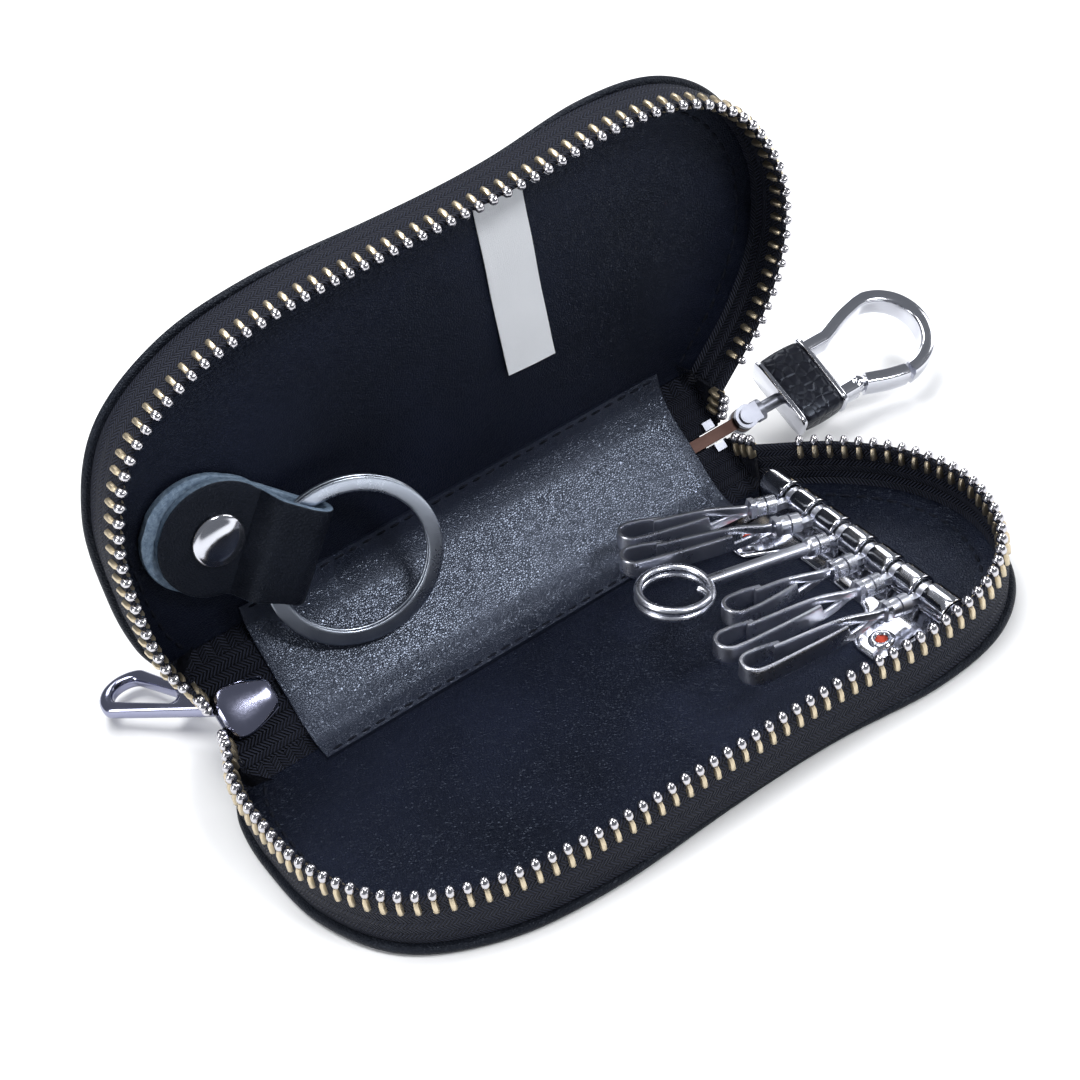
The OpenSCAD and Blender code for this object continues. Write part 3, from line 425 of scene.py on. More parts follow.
def shader_node(tree, kind, inputs, **settings):
    """A node with its settings. Each input, by name or number, is linked from a socket or set to a value."""
    node = tree.nodes.new("ShaderNode" + kind)
    for title, value in settings.items():
        setattr(node, title, value)
    for title, value in inputs.items():
        if hasattr(value, "is_output"):
            tree.links.new(value, node.inputs[title])
        else:
            node.inputs[title].default_value = value
    return node


def math(tree, kind, *values):
    """A Math node on sockets or numbers."""
    return shader_node(tree, "Math", dict(enumerate(values)), operation=kind).outputs[0]


def blend_colour(tree, share, a, b):
    """Colour a where share is 0 and b where it is 1."""
    return shader_node(tree, "Mix", {"Factor": share, "A": a, "B": b}, data_type="RGBA").outputs["Result"]


def ranged(tree, value, low, high, to_low=0.0, to_high=1.0):
    """The value carried from the range low..high to to_low..to_high, and held at the ends."""
    return shader_node(tree, "MapRange", {"Value": value, "From Min": low, "From Max": high, "To Min": to_low,
                                          "To Max": to_high}).outputs["Result"]


def noise(tree, place, scale, detail):
    """Noise at a scale in features a metre."""
    return shader_node(tree, "TexNoise", {"Vector": place, "Scale": scale, "Detail": detail}).outputs["Fac"]


def own_noise(tree, scale, detail):
    """Noise over a piece's own Object coordinates."""
    return noise(tree, tree.nodes.new("ShaderNodeTexCoord").outputs["Object"], scale, detail)


# Leather grain: small cells with creases between them, over soft swells. Height, and a mask of the creases.
grain, inside, out = new_group("leather_grain", [("Place", "Vector", None), ("Cells", "Float", 1100.0),
                                                 ("Swell", "Float", 0.3)],
                               [("Height", "Float"), ("Crease", "Float"), ("Patch", "Float")])
cells = shader_node(grain, "TexVoronoi", {"Vector": inside.outputs["Place"], "Scale": inside.outputs["Cells"]},
                    feature="DISTANCE_TO_EDGE")
crease = ranged(grain, cells.outputs["Distance"], 0.0, 0.22, 1.0, 0.0)
swell = noise(grain, inside.outputs["Place"], 320.0, 2.0)
patch = noise(grain, inside.outputs["Place"], 45.0, 3.0)
height = math(grain, "MULTIPLY_ADD", swell, inside.outputs["Swell"], math(grain, "MULTIPLY", crease, -0.6))
grain.links.new(height, out.inputs["Height"])
grain.links.new(crease, out.inputs["Crease"])
grain.links.new(ranged(grain, patch, 0.35, 0.65), out.inputs["Patch"])

# Herringbone weave in a piece's own UV, in millimetres along and across: the slant flips from rib to rib.
weave, inside, out = new_group("herringbone", [("Along", "Vector", None), ("Rib", "Float", 1.2),
                                               ("Yarn", "Float", 0.6)], [("Height", "Float"), ("Gap", "Float")])
split = shader_node(weave, "SeparateXYZ", {0: inside.outputs["Along"]})
rib = math(weave, "DIVIDE", split.outputs["Y"], inside.outputs["Rib"])
slant = math(weave, "PINGPONG", rib, 1.0)
phase = math(weave, "DIVIDE", math(weave, "ADD", split.outputs["X"], slant), inside.outputs["Yarn"])
wave = math(weave, "SINE", math(weave, "MULTIPLY", phase, 2 * np.pi))
furrow = ranged(weave, math(weave, "ABSOLUTE", math(weave, "SUBTRACT", math(weave, "FRACT", rib), 0.5)), 0.36, 0.5)
yarn = math(weave, "MULTIPLY_ADD", wave, 0.5, 0.5)
weave.links.new(math(weave, "SUBTRACT", yarn, math(weave, "MULTIPLY", furrow, 0.6)), out.inputs["Height"])
# Gap masks the hollows between the yarns, where the cloths paint shade into their colour.
weave.links.new(ranged(weave, yarn, 0.0, 0.5, 1.0, 0.0), out.inputs["Gap"])

# Rubbing on plated metal: fine hairlines and faint clouds that only change the roughness and the height.
rub, inside, out = new_group("metal_rub", [("Place", "Vector", None), ("Base", "Float", 0.14),
                                           ("Spread", "Float", 0.12)],
                             [("Roughness", "Float"), ("Height", "Float")])
clouds = noise(rub, inside.outputs["Place"], 160.0, 4.0)
hair = noise(rub, inside.outputs["Place"], 2200.0, 2.0)
both = math(rub, "MULTIPLY_ADD", hair, 0.35, clouds)
rub.links.new(math(rub, "MULTIPLY_ADD", ranged(rub, both, 0.45, 0.95), inside.outputs["Spread"],
                   inside.outputs["Base"]), out.inputs["Roughness"])
rub.links.new(both, out.inputs["Height"])
print("groups:", [g.name for g in bpy.data.node_groups])

# %% [markdown]
# A material is a Principled shader with a group's values fed to its colour, roughness and normal. One function
# starts each of them, so that a material is only what is particular to it.


# %% Material starts
def new_material(name, colour, **sockets):
    """A material with a Principled shader and its plain values set on their own sockets."""
    material = bpy.data.materials.new(name)
    material.use_nodes = True
    material.diffuse_color = (*colour, 1)
    shader = material.node_tree.nodes["Principled BSDF"]
    shader.inputs["Base Color"].default_value = (*colour, 1)
    for title, value in sockets.items():
        shader.inputs[title.replace("_", " ")].default_value = value
    return material, material.node_tree, shader


def use_group(tree, name, **values):
    """The group as a node, its place fed by Object coordinates unless it follows the piece's own UV."""
    node = tree.nodes.new("ShaderNodeGroup")
    node.node_tree = bpy.data.node_groups[name]
    coords = tree.nodes.new("ShaderNodeTexCoord")
    socket = "Along" if "Along" in node.inputs else "Place"
    tree.links.new(coords.outputs["UV" if socket == "Along" else "Object"], node.inputs[socket])
    for title, value in values.items():
        node.inputs[title].default_value = value
    return node


def bump(tree, shader, height, distance):
    """Feeds the shader's normal from a height, with its depth in metres."""
    node = shader_node(tree, "Bump", {"Distance": distance, "Height": height})
    tree.links.new(node.outputs["Normal"], shader.inputs["Normal"])


def colour_from(tree, shader, share, a, b):
    """Feeds the shader's colour: a where share is 0 and b where it is 1, both without alpha."""
    tree.links.new(blend_colour(tree, share, (*a, 1), (*b, 1)), shader.inputs["Base Color"])


def leather(name, dark, light, rough, cells, depth, swell, gloss=0.3, tint=(0.72, 0.82, 1.0)):
    """Grained leather: two close colours in patches, a painted shade darkening the grain's crease lines, and a
    roughness that follows the grain.
    """
    material, tree, shader = new_material(name, light, Roughness=rough, Specular_IOR_Level=gloss,
                                          Specular_Tint=(*tint, 1))
    group = use_group(tree, "leather_grain", Cells=cells, Swell=swell)
    patches = blend_colour(tree, group.outputs["Patch"], (*dark, 1), (*light, 1))
    # Painted shade: the colour is darkened along the grain's crease lines, on top of their relief.
    crease_shade = math(tree, "MULTIPLY", group.outputs["Crease"], 0.6)
    tree.links.new(blend_colour(tree, crease_shade, patches, (*[c * 0.4 for c in dark], 1)), shader.inputs["Base Color"])
    worn = ranged(tree, group.outputs["Patch"], 0, 1, rough - 0.04, rough + 0.05)
    tree.links.new(worn, shader.inputs["Roughness"])
    bump(tree, shader, group.outputs["Height"], depth)
    return material


HAIRLINE = 0.000004  # metres


def plated(name, colour, base, spread):
    """Polished plating: full metal, its roughness clouded by handling."""
    material, tree, shader = new_material(name, colour, Metallic=1.0)
    group = use_group(tree, "metal_rub", Base=base, Spread=spread)
    tree.links.new(group.outputs["Roughness"], shader.inputs["Roughness"])
    bump(tree, shader, group.outputs["Height"], HAIRLINE)
    return material


def woven(name, colour, yarn, gap_shade, depth, ribs, **sockets):
    """Cloth in a herringbone: one colour for the yarn, a darker one painted into the hollows between the yarns as
    painted shade, and the yarn's relief.
    """
    material, tree, shader = new_material(name, colour, **sockets)
    group = use_group(tree, "herringbone", **ribs)
    # Painted shade: the colour darkens in the hollows between the yarns.
    colour_from(tree, shader, group.outputs["Gap"], yarn, gap_shade)
    bump(tree, shader, group.outputs["Height"], depth)
    return material


def speckled(name, colour, a, b, scale, detail, span, depth=None, **sockets):
    """Fibre: noise of a scale, spread over the range span, goes from colour a to b and may raise the surface."""
    material, tree, shader = new_material(name, colour, **sockets)
    fibre = own_noise(tree, scale, detail)
    colour_from(tree, shader, ranged(tree, fibre, *span), a, b)
    if depth:
        bump(tree, shader, fibre, depth)
    return material


print("material helpers ready")

# %% [markdown]
# The case is blue-black calf: a fine, even grain outside, a smoother lining with a soft sheen inside, and a
# coarser pebble on the snap hook's band. The strap's edges are left raw and show a blue-grey core.

# %% Leathers
# Dark and light colour, roughness, cells a metre, depth in metres and swell.
OUTER = leather("outer_leather", (0.005, 0.006, 0.010), (0.009, 0.011, 0.017), 0.40, 2050.0, 0.00010, 0.25,
                gloss=0.2)
INSIDE = leather("lining_leather", (0.003, 0.004, 0.009), (0.006, 0.008, 0.019), 0.36, 2500.0, 0.00009, 0.4,
                 gloss=0.22, tint=(0.62, 0.74, 1.0))
SHEEN = leather("spine_lining_leather", (0.006, 0.008, 0.016), (0.012, 0.015, 0.029), 0.29, 3000.0, 0.00006, 0.06,
                gloss=1.0, tint=(0.68, 0.78, 1.0))
PEBBLE = leather("pebbled_band", (0.006, 0.006, 0.010), (0.013, 0.013, 0.020), 0.34, 620.0, 0.00012, 0.3)

STRAP = leather("folded_strap_leather", (0.004, 0.005, 0.009), (0.008, 0.010, 0.017), 0.38, 1900.0, 0.00007, 0.4,
                gloss=0.25)
tree = STRAP.node_tree
shader = tree.nodes["Principled BSDF"]
raw = shader_node(tree, "Attribute", {}, attribute_name="mark")
fibre = ranged(tree, own_noise(tree, 1500.0, 4.0), 0.3, 0.7)
edge_colour = blend_colour(tree, fibre, (0.10, 0.15, 0.22, 1), (0.24, 0.32, 0.42, 1))
face_colour = shader.inputs["Base Color"].links[0].from_socket
tree.links.new(blend_colour(tree, raw.outputs["Fac"], face_colour, edge_colour), shader.inputs["Base Color"])
print("leathers:", OUTER.name, INSIDE.name, SHEEN.name, PEBBLE.name, STRAP.name)

# %% [markdown]
# The tape is a dense herringbone of dull yarn, its yarn lightened as painted highlight flecks and the hollows
# between yarns darkened as painted shade. The thread is the same navy with a little twist to it. The label is a
# bare white satin ribbon, the hollows of its weave darkened as painted shade. The hidden board only shows where a
# gap opens.

# %% Cloths
# Yarn colour, then the darker colour between the yarns: on the tape the yarn is lightened as painted highlight
# flecks, and on both cloths the darker colour is painted shade.
TAPE_CLOTH = woven("zip_tape_cloth", (0.008, 0.010, 0.018), (0.024, 0.029, 0.052), (0.0015, 0.002, 0.004), 0.0006,
                   {}, Roughness=0.7, Specular_IOR_Level=0.25)
LABEL = woven("label_satin", (0.80, 0.82, 0.85), (0.84, 0.86, 0.89), (0.66, 0.69, 0.75), 0.00003,
              {"Rib": 0.35, "Yarn": 0.3}, Roughness=0.5)
THREAD = speckled("thread", (0.006, 0.008, 0.014), (0.002, 0.003, 0.006), (0.008, 0.010, 0.018), 2600.0, 1.0,
                  (0.4, 0.6), 0.00006, Roughness=0.8, Specular_IOR_Level=0.12)
BOARD_GREY = speckled("stiffener_board", (0.26, 0.24, 0.21), (0.22, 0.20, 0.17), (0.31, 0.28, 0.24), 700.0, 5.0,
                      (0.3, 0.7), Roughness=0.85)
print("cloths:", TAPE_CLOTH.name, THREAD.name, LABEL.name)

# %% [markdown]
# Plated metal differs in tint and polish. The key row and the stud are bright nickel and the hooks a softer one.
# The zip's slider and pull are coloured dark and blue as a painted reflection, and its teeth have silvery heads on
# brassy legs. The ring is ground steel. The lug is copper painted very dark and the yoke nickel painted dark, both
# painted shade, and the middles of the rivets are painted red as a painted reddish reflection.

# %% Metals
# Colour, least roughness, and how much rubbing adds to it.
NICKEL = plated("bright_nickel", (0.60, 0.61, 0.66), 0.08, 0.10)
# Painted reflection: the slider and pull are coloured dark and blue for the dark surroundings they reflect.
ZIP_CHROME_PAINTED_DARK = plated("zip_chrome_painted_dark_reflection", (0.30, 0.31, 0.42), 0.09, 0.10)
HOOK_NICKEL = plated("hook_nickel", (0.70, 0.72, 0.80), 0.24, 0.14)
TEETH = plated("tooth_metal", (0.55, 0.54, 0.57), 0.14, 0.12)
LEGS = plated("tooth_leg_metal", (0.62, 0.53, 0.38), 0.34, 0.14)
STEEL = plated("ring_steel", (0.52, 0.57, 0.66), 0.24, 0.16)
# Painted reflection: the rivets' middles are coloured red for the reddish reflection seen in them.
RED_REFLECTION_PAINT = plated("metal_painted_red_reflection", (0.50, 0.07, 0.04), 0.34, 0.15)
# The lug is copper. Painted shade makes it much darker than copper, so the lamps' reflections on it stay dim.
LUG_PAINTED_DARK = plated("copper_lug_painted_dark", (0.070, 0.042, 0.036), 0.50, 0.15)
# Painted shade: the yoke, its pin and the stops are nickel coloured dark, so they show the dark reflections they
# have.
YOKE_PAINTED_DARK = plated("yoke_nickel_painted_dark", (0.22, 0.23, 0.27), 0.36, 0.14)
print("metals:", [m.name for m in (NICKEL, ZIP_CHROME_PAINTED_DARK, HOOK_NICKEL, TEETH, LEGS, STEEL, RED_REFLECTION_PAINT, LUG_PAINTED_DARK, YOKE_PAINTED_DARK)])

# %% [markdown]
# ## Outer leather
# In life the outer leather is one piece: lower panel, spine and upper panel. A panel is a stack of closed
# outlines, each the zip line moved in or out, that rise round the edge and then shrink towards the middle. The
# bending part is a slab carried round the fold. Panel and half a spine are one object.


# %% Panels
def outline(d, y, waist=0.0, n=300, back=80):
    """A closed outline: the zip line moved out by d and cut off at y, then straight back along that line."""
    front = evenly(cut_square(rim_offset(d, waist), y), n)
    straight = np.linspace(front[-1], front[0], back + 2)[1:-1]
    return np.vstack([front, straight])


def panel(d, y, low, high, r, waist=0.0, under=0.0, over=None):
    """Rings of a flat panel with rounded edges: outlines moved in by r(1 - cos a) at heights r sin a, then
    outlines shrunk towards the middle. under is how far the underside is crowned, over gives the top's height."""
    middle = np.array([0, -CASE_D / 2])
    edge = outline(d - r, y - r, waist)
    shrunk = lambda share: middle + (edge - middle) * share
    shares = (0.04, 0.2, 0.38, 0.56, 0.72, 0.85, 0.94, 0.985)
    bottom = [raised(shrunk(s), low - under * (1 - s**4)) for s in shares]
    sides = [raised(outline(d - r + r * np.cos(a), y - r + r * np.cos(a), waist),
                    (low + high) / 2 + (high - low) / 2 * np.sin(a)) for a in np.radians(np.linspace(-90, 90, 9))]
    top = [raised(shrunk(s), high + (over(shrunk(s), s) if over else 0)) for s in shares[::-1]]
    return np.array(bottom + sides + top)


def bend(start, end, turn, radius, n=14):
    """A path in the y-z plane that runs straight from start, turns by an angle over an arc of the given radius,
    and runs straight on to end. The arc touches both straight runs."""
    start, end = np.array(start, float), np.array(end, float)
    corner_t = (end - start) @ np.array([-np.sin(turn), np.cos(turn)]) / -np.sin(turn)
    corner = start + [corner_t, 0]
    back = radius * np.tan(turn / 2)
    t = np.linspace(0, turn, n)
    arc = corner + [-back, 0] + radius * np.stack([np.sin(t), 1 - np.cos(t)], -1)
    first = np.linspace(start, arc[0], 6)[:-1]
    second = np.linspace(arc[-1], end, 9)[1:]
    return at_x(0, np.vstack([first, arc, second]))


LID_CROWN = 0.7
TURN = QUARTER - FOLD
SPINE_X = (-0.75 * CASE_L / 2, 0.63 * CASE_L / 2)


def leather_half(crown):
    """The lower panel with the lower half of the spine, both parts of one object."""
    plate = on_base(panel(TAPE / 2 + 1.1, -1.0, 0.0, LEATHER, 0.6, waist=1.5, under=crown))
    path = bend((LOWER_FOLD[1] - 2.9, AXIS), SPINE_MIDDLE[1:], TURN, 3.4)
    half = np.full(len(path), LEATHER / 2)
    half[0] -= 0.25
    strip = np.stack([slab(*SPINE_X, h, 0.45, n=24) for h in half])
    return [ring_faces(plate), ring_faces(carried(path, strip, (1, 0, 0)))]


def at_folds(start, end):
    """The bodies of a piece that bends at the lower fold, from start to end, and of its mirror image."""
    return ("base", "spine", start, end), ("spine", "lid", mirrored(end), mirrored(start))


BENDS = at_folds(LOWER_FOLD - [0, 1.6, 0], LOWER_FOLD + SPINE_UP * 1.2)
piece("leather_lower_skin", leather_half(0.0), BENDS[0], OUTER, ("leather_lower",))
piece("leather_upper_skin", [(mirrored(p), f) for p, f in leather_half(LID_CROWN)], BENDS[1], OUTER,
      ("leather_upper", "leather_spine"))

# %% [markdown]
# ## Stitches
# A lockstitch shows as a row of short fat threads, each sunk a little at both ends. One stitch is a few rings of
# six points. The whole row is that one array, moved to each place and turned to the row's heading. Modelling it
# costs few faces and keeps the stitches in the exported mesh, where a bump in the leather would be lost.


# %% Stitch rows
def copies(rings, origin, x_axis, y_axis, z_axis):
    """One mesh of many copies of a ringed shape: point = origin + x * x_axis + y * y_axis + z * z_axis."""
    axes = np.stack([x_axis, y_axis, z_axis], 1)
    world = origin[:, None, None] + np.einsum("rnk,ckj->crnj", rings, axes)
    caps = np.stack([world[:, 0].mean(1), world[:, -1].mean(1)], 1)
    count = len(origin)
    points = np.concatenate([world.reshape(count, -1, 3), caps], 1)
    faces = ring_faces(rings)[1]
    start = (np.arange(count) * points.shape[1]).tolist()
    return points.reshape(-1, 3), [[i + s for i in face] for s in start for face in faces]


UP = np.array([0.0, 0.0, 1.0])


def stitch_row(path, pitch=2.5, long=1.9, thick=0.22):
    """Stitches along a path, with +Z up: a spindle whose radius is thick * sqrt(1 - x^4), placed every pitch
    millimetres, its two ends sunk by 0.14 x^2."""
    count = int(length_of(path) / pitch)
    ends = evenly(path, 2 * count + 1)
    t = unit(ends[2::2] - ends[:-2:2])
    x = np.array([-0.96, -0.75, -0.3, 0.3, 0.75, 0.96])[:, None]
    radius, a = thick * np.sqrt(1 - x**4), around(6)
    rings = np.stack([np.broadcast_to(x * long / 2, (6, 6)), radius * np.cos(a) * 1.15,
                      radius * np.sin(a) - 0.14 * x**2], -1)
    return copies(rings, ends[1::2], t, spun(t, QUARTER), np.broadcast_to(UP, t.shape))


def rim_row(d, z, y, waist=0.0):
    """A path that follows the zip line, moved out by d, at a height."""
    return raised(cut_square(rim_offset(d, waist), y), z)


seam = stitch_row(on_base(rim_row(-1.6, 0.03, -1.8, 1.1)), 2.6, 2.0, 0.26)
piece("seam_upper_outside", [(mirrored(seam[0] - [0, 0, LID_CROWN + 0.05]), seam[1])], "lid", THREAD)

# %% [markdown]
# ## Linings
# The lining of each half is thin leather laid over the board, turned under at the rim and sewn about three
# millimetres in. It is never quite flat: it puckers along the seam and swells softly in the middle. The height
# is a sum of slow waves, and the pucker is a short wave that fades away from the seam.


# %% Lining sheets
def lining_swell(p, share):
    """Height of the lining over its flat: slow waves in the middle, a pucker near the seam, and a dip at it."""
    x, y = p[:, 0], p[:, 1]
    slow = 0.10 * np.sin(x / 9.5 + y / 14) + 0.07 * np.sin(x / 23 - y / 8 + 1.3) + 0.05 * np.sin(y / 5.2 + x / 31)
    edge = np.exp(-(((share - 0.94) / 0.05) ** 2))
    pucker = 0.05 * np.sin(np.arange(len(x)) * 2 * np.pi / 9)
    return slow * (1 - share**8) - 0.10 * edge * (share > 0.9) + pucker * edge


LINING_CUT = (-TAPE / 2, -2.1)  # how far out from the zip line, and where it is cut off at the spine
lining = ring_faces(on_base(panel(*LINING_CUT, INNER - LINING, INNER, 0.24, over=lining_swell)))
linings = both_halves("lining_{}_sheet", [lining], HALVES, INSIDE, (("lining_lower",), ("lining_upper",)))
lining_seam = stitch_row(on_base(rim_row(-3.4, INNER - 0.02, -3.0)), thick=0.24)
both_halves("lining_{}_seam", [lining_seam], HALVES, THREAD)

# %% [markdown]
# The lining's cut is its flat outline: the zip line moved out and cut off at the spine.

# %% The linings' cut outline
cut = outline(*LINING_CUT)

# %% [markdown]
# The spine has its own lining: a strip of glossier leather that crosses both folds and is sewn down on each
# half. It is a slab carried along a path with a soft bend, in two objects that meet at the spine's middle.

# %% Spine lining
STRIP_X = (-0.735 * CASE_L / 2, 0.585 * CASE_L / 2)
STRIP_FACE, STRIP_BEND = 1.3, 8.5  # its middle line's height over the spine's, and the radius of its bend
strip_path = bend((LOWER_FOLD[1] - 5.4, INNER + 0.3), (SPINE_MIDDLE + SPINE_IN * STRIP_FACE)[1:], TURN, STRIP_BEND)
along = run_of(strip_path)
thick = np.interp(along, [0, 3.0, 7.5], [0.3, 0.3, 0.5])
strip_rings = carried(strip_path, np.stack([slab(*STRIP_X, h, 0.22, n=40) for h in thick]), (1, 0, 0))
ripple = 0.07 * np.sin(strip_rings[..., 0] / 6.1) * np.sin(along / 4.5)[:, None]
strip_rings = strip_rings + ripple[..., None] * SPINE_IN
strip = ring_faces(strip_rings)
strips = both_halves("lining_spine_{}", [strip], BENDS, SHEEN, (("lining_spine",), ()))
edge_x = np.linspace(STRIP_X[0] + 1, STRIP_X[1] - 1, 80)[:, None]
edge_row = stitch_row(np.c_[edge_x, np.broadcast_to([LOWER_FOLD[1] - 4.6, INNER + 0.6], (80, 2))])
both_halves("strip_seam_{}", [edge_row], HALVES, THREAD)

# %% [markdown]
# ## Zip tapes
# Each tape is sewn flat under the lining and stands up as the case's side wall. Its section is a closed outline:
# up the outside with a slight belly, over the rounded edge, and down inside to the sewn flange. The UV map holds
# millimetres along the rim and round the section, so the weave runs true round every curve.

# %% Tape walls
WALL = np.array([(0.40, 1.45), (0.50, 2.6), (0.66, 4.4), (0.68, 6.2), (0.55, 8.2), (0.42, 10.0), (0.34, 10.5),
                 (0.0, 10.62), (-0.34, 10.5), (-0.40, 10.0), (-0.26, 8.2), (-0.12, 6.2), (-0.14, 4.4), (-0.32, 3.1),
                 (-0.62, 2.5), (-1.2, 2.12), (-2.6, 2.0), (-5.4, 1.98), (-5.4, 1.44), (-2.6, 1.42)])


def wall_rings(y):
    """Rings of the wall: at each point of the zip line the section, its first number outwards and second up."""
    path = evenly(cut_square(RIM, y), 260)
    normal = spun(unit(np.gradient(path, axis=0)), -QUARTER)
    xy = path[:, None] + WALL[None, :, :1] * normal[:, None]
    z = np.broadcast_to(WALL[:, 1], xy.shape[:2])
    return np.concatenate([xy, z[..., None]], -1), length_of(path)


def grid_uv(m, n, length, section):
    """UV in millimetres for m rings of a section: distance along the path, and distance round the section."""
    u, v = np.meshgrid(np.linspace(0, length, m), run_of(section), indexing="ij")
    uv = np.stack([u, v], -1).reshape(-1, 2)
    return np.vstack([uv, uv[:1], uv[-1:]])


rings, wall_length = wall_rings(-1.0)
wall = ring_faces(on_base(rings))
wall_uv = grid_uv(*rings.shape[:2], wall_length, WALL)
both_halves("tape_wall_{}", [wall], HALVES, TAPE_CLOTH, (("zip_tape_lower",), ("zip_tape_upper",)), wall_uv)

# %% [markdown]
# At both ends of the spine the tapes leave the halves and fan over to the spine. Each free stretch is a sheet
# ruled between two upright edges, one on the half and one on the spine, with a slight belly. Beyond it the tape's
# end lies along the spine, and a low gusset of the same cloth crosses the fold between the end and the spine's
# lining, as the tape's flange does in life.

# %% Tape bends and ends
TAB_GAP = 1.15
END_X = (-0.91 * CASE_L / 2 - BOARD / 2, 0.7 * CASE_L / 2 - BOARD)
CHAIN_Y = -LEATHER / 2 - BOARD / 2
TAB_START = int(0.8 / RIM_LENGTH * 480)  # the point of RIM, counted from either end, where a wall lets go
RIM_ENDS = (RIM[TAB_START], RIM[-1 - TAB_START])
SPINE_ENDS = (END_X[0] - 0.36, END_X[1] + 0.36)
BEND_LOW, BEND_TOP, BEND_MOUTH = INNER + 0.35, 10.225, MID - TAB_GAP - 0.3


def bend_edges(i, n):
    """The upright edges of stretch i, n points each: one on the lower half and one on the spine."""
    half = np.linspace((RIM_ENDS[i][0], -0.64, BEND_LOW), (RIM_ENDS[i][0], -0.64, BEND_TOP), n)
    spine = np.linspace((SPINE_ENDS[i], CHAIN_Y, BEND_LOW), (SPINE_ENDS[i], CHAIN_Y, BEND_MOUTH), n)
    return on_base(half), on_spine(spine)


def bend_sheet(i, n=15, m=9, thick=0.3):
    """Rings of a stretch: at share t from the half to the spine, a rounded strip whose middle line runs from the
    low edge to the top one, pushed outwards by a belly of sin(pi t)."""
    t = np.linspace(0, 1, n)[:, None, None]
    v = np.linspace(0, 1, m)[None, :, None]
    half, spine = bend_edges(i, m)
    out = np.array([-1.0 if i == 0 else 1.0, 0, 0])
    belly = 0.5 * np.sin(np.pi * t) * np.sin(np.pi * (0.25 + 0.75 * v)) * out
    mid = half * (1 - t) + spine * t + belly
    a, b = mid + thick * out, mid - thick * out
    return np.concatenate([a, b[:, ::-1]], 1)


EDGES = at_folds(FRONT + [0, -0.7, 5.0], FRONT + [0, 1.6, 5.0])
sheets = [bend_sheet(0), bend_sheet(1)]
uv = np.vstack([grid_uv(*s.shape[:2], 5.0, s[0]) for s in sheets])
both_halves("tape_bend_{}", [ring_faces(s) for s in sheets], EDGES, TAPE_CLOTH, (("zip_tape_bends",), ()),
            uv)

GUSSET_PATH = smooth_curve([(0, 23.6, 1.72), (0, 25.4, 1.76), (0, 26.9, 2.12), (0, 28.0, 3.0), (0, 28.9, 3.95)], 5)
GUSSET_X = [(-55.3, STRIP_X[0] + 0.8), (STRIP_X[1] - 0.8, 42.6)]
CLOTH_HALF, CLOTH_EDGE = 0.16, 0.14
sections = [slab(*x, CLOTH_HALF, CLOTH_EDGE, n=30) for x in GUSSET_X]
gussets = [carried(GUSSET_PATH, s, (1, 0, 0)) for s in sections]
uv = np.vstack([grid_uv(*g.shape[:2], length_of(GUSSET_PATH), s) for g, s in zip(gussets, sections)])
both_halves("tape_gusset_{}", [ring_faces(g) for g in gussets], BENDS, TAPE_CLOTH, uv=uv)


def tab(x0, x1, low, high):
    """Rings of a tape end on the spine: a thin upright slab, rounded along its edges."""
    section = slab(low, high, BOARD / 2, 0.25, n=6)[:, ::-1] + [CHAIN_Y, 0]
    return np.stack([at_x(x, section) for x in np.linspace(x0, x1, 12)])


spans = [(END_X[0], STRIP_X[0] + 4), (STRIP_X[1] - 4, END_X[1])]
heights = [(INNER + 0.35, MID - TAB_GAP), (MID + TAB_GAP, CASE_T - INNER - 0.35)]
tabs = [tab(*s, *h) for s in spans for h in heights]
uv = np.vstack([grid_uv(*s.shape[:2], 14.0, s[0]) for s in tabs])
piece("tape_ends", placed(on_spine, tabs), "spine", TAPE_CLOTH, ("zip_tape_ends",), uv=uv)

# %% [markdown]
# ## Teeth
# A tooth is pressed brass: two legs clamp the tape and a rounded head stands above it, plated silvery where it
# shows. The legs are four small rings of ten points and the head is seven. All the heads of a chain are one
# array, each a copy moved to its place, and so are the legs, so that the mesh stays light.


# %% Tooth chains
TOOTH_PITCH, TEETH_COUNT, FIRST_TOOTH = 2.4, 83, 2.2
# Height on the wall, half size across it and half size along it, from the lowest ring to the highest.
LEG_LEVELS = [(8.05, 1.02, 0.42), (8.2, 1.17, 0.51), (9.6, 1.13, 0.47), (10.2, 0.80, 0.42)]
HEAD_LEVELS = [(9.95, 0.40, 0.32), (10.2, 0.68, 0.56), (10.6, 0.86, 0.71), (10.95, 0.90, 0.75),
               (11.35, 0.78, 0.65), (11.7, 0.50, 0.42), (11.9, 0.17, 0.15)]
leg_rings = np.stack([raised(bar(along_it, across, 10, 3.0), z) for z, across, along_it in LEG_LEVELS])
head_rings = np.stack([raised(bar(along_it, across, 10, 2.1), z) for z, across, along_it in HEAD_LEVELS])


def chain(shift, rings):
    """The teeth of one half, every 2.4 mm along the zip line, each turned to the line's heading there."""
    s = FIRST_TOOTH + (np.arange(TEETH_COUNT) + shift) * TOOTH_PITCH
    run = np.linspace(0, RIM_LENGTH, len(RIM))
    at = lambda q: np.stack([np.interp(q, run, RIM[:, i]) for i in (0, 1)] + [0 * q], -1)
    heading = unit(at(s + 0.8) - at(s - 0.8))
    return copies(rings, on_base(at(s)), heading, spun(heading, QUARTER), np.broadcast_to(UP, heading.shape))


piece("teeth_lower", [chain(0.0, head_rings)], "base", TEETH, ("zip_teeth_lower",))
piece("tooth_legs_lower", [chain(0.0, leg_rings)], "base", LEGS)
for name, rings, finish, stands_for in (("teeth_upper", head_rings, TEETH, ("zip_teeth_upper",)),
                                        ("tooth_legs_upper", leg_rings, LEGS, ())):
    points, faces = chain(0.5, rings)
    piece(name, [(mirrored(points), faces)], "lid", finish, stands_for)


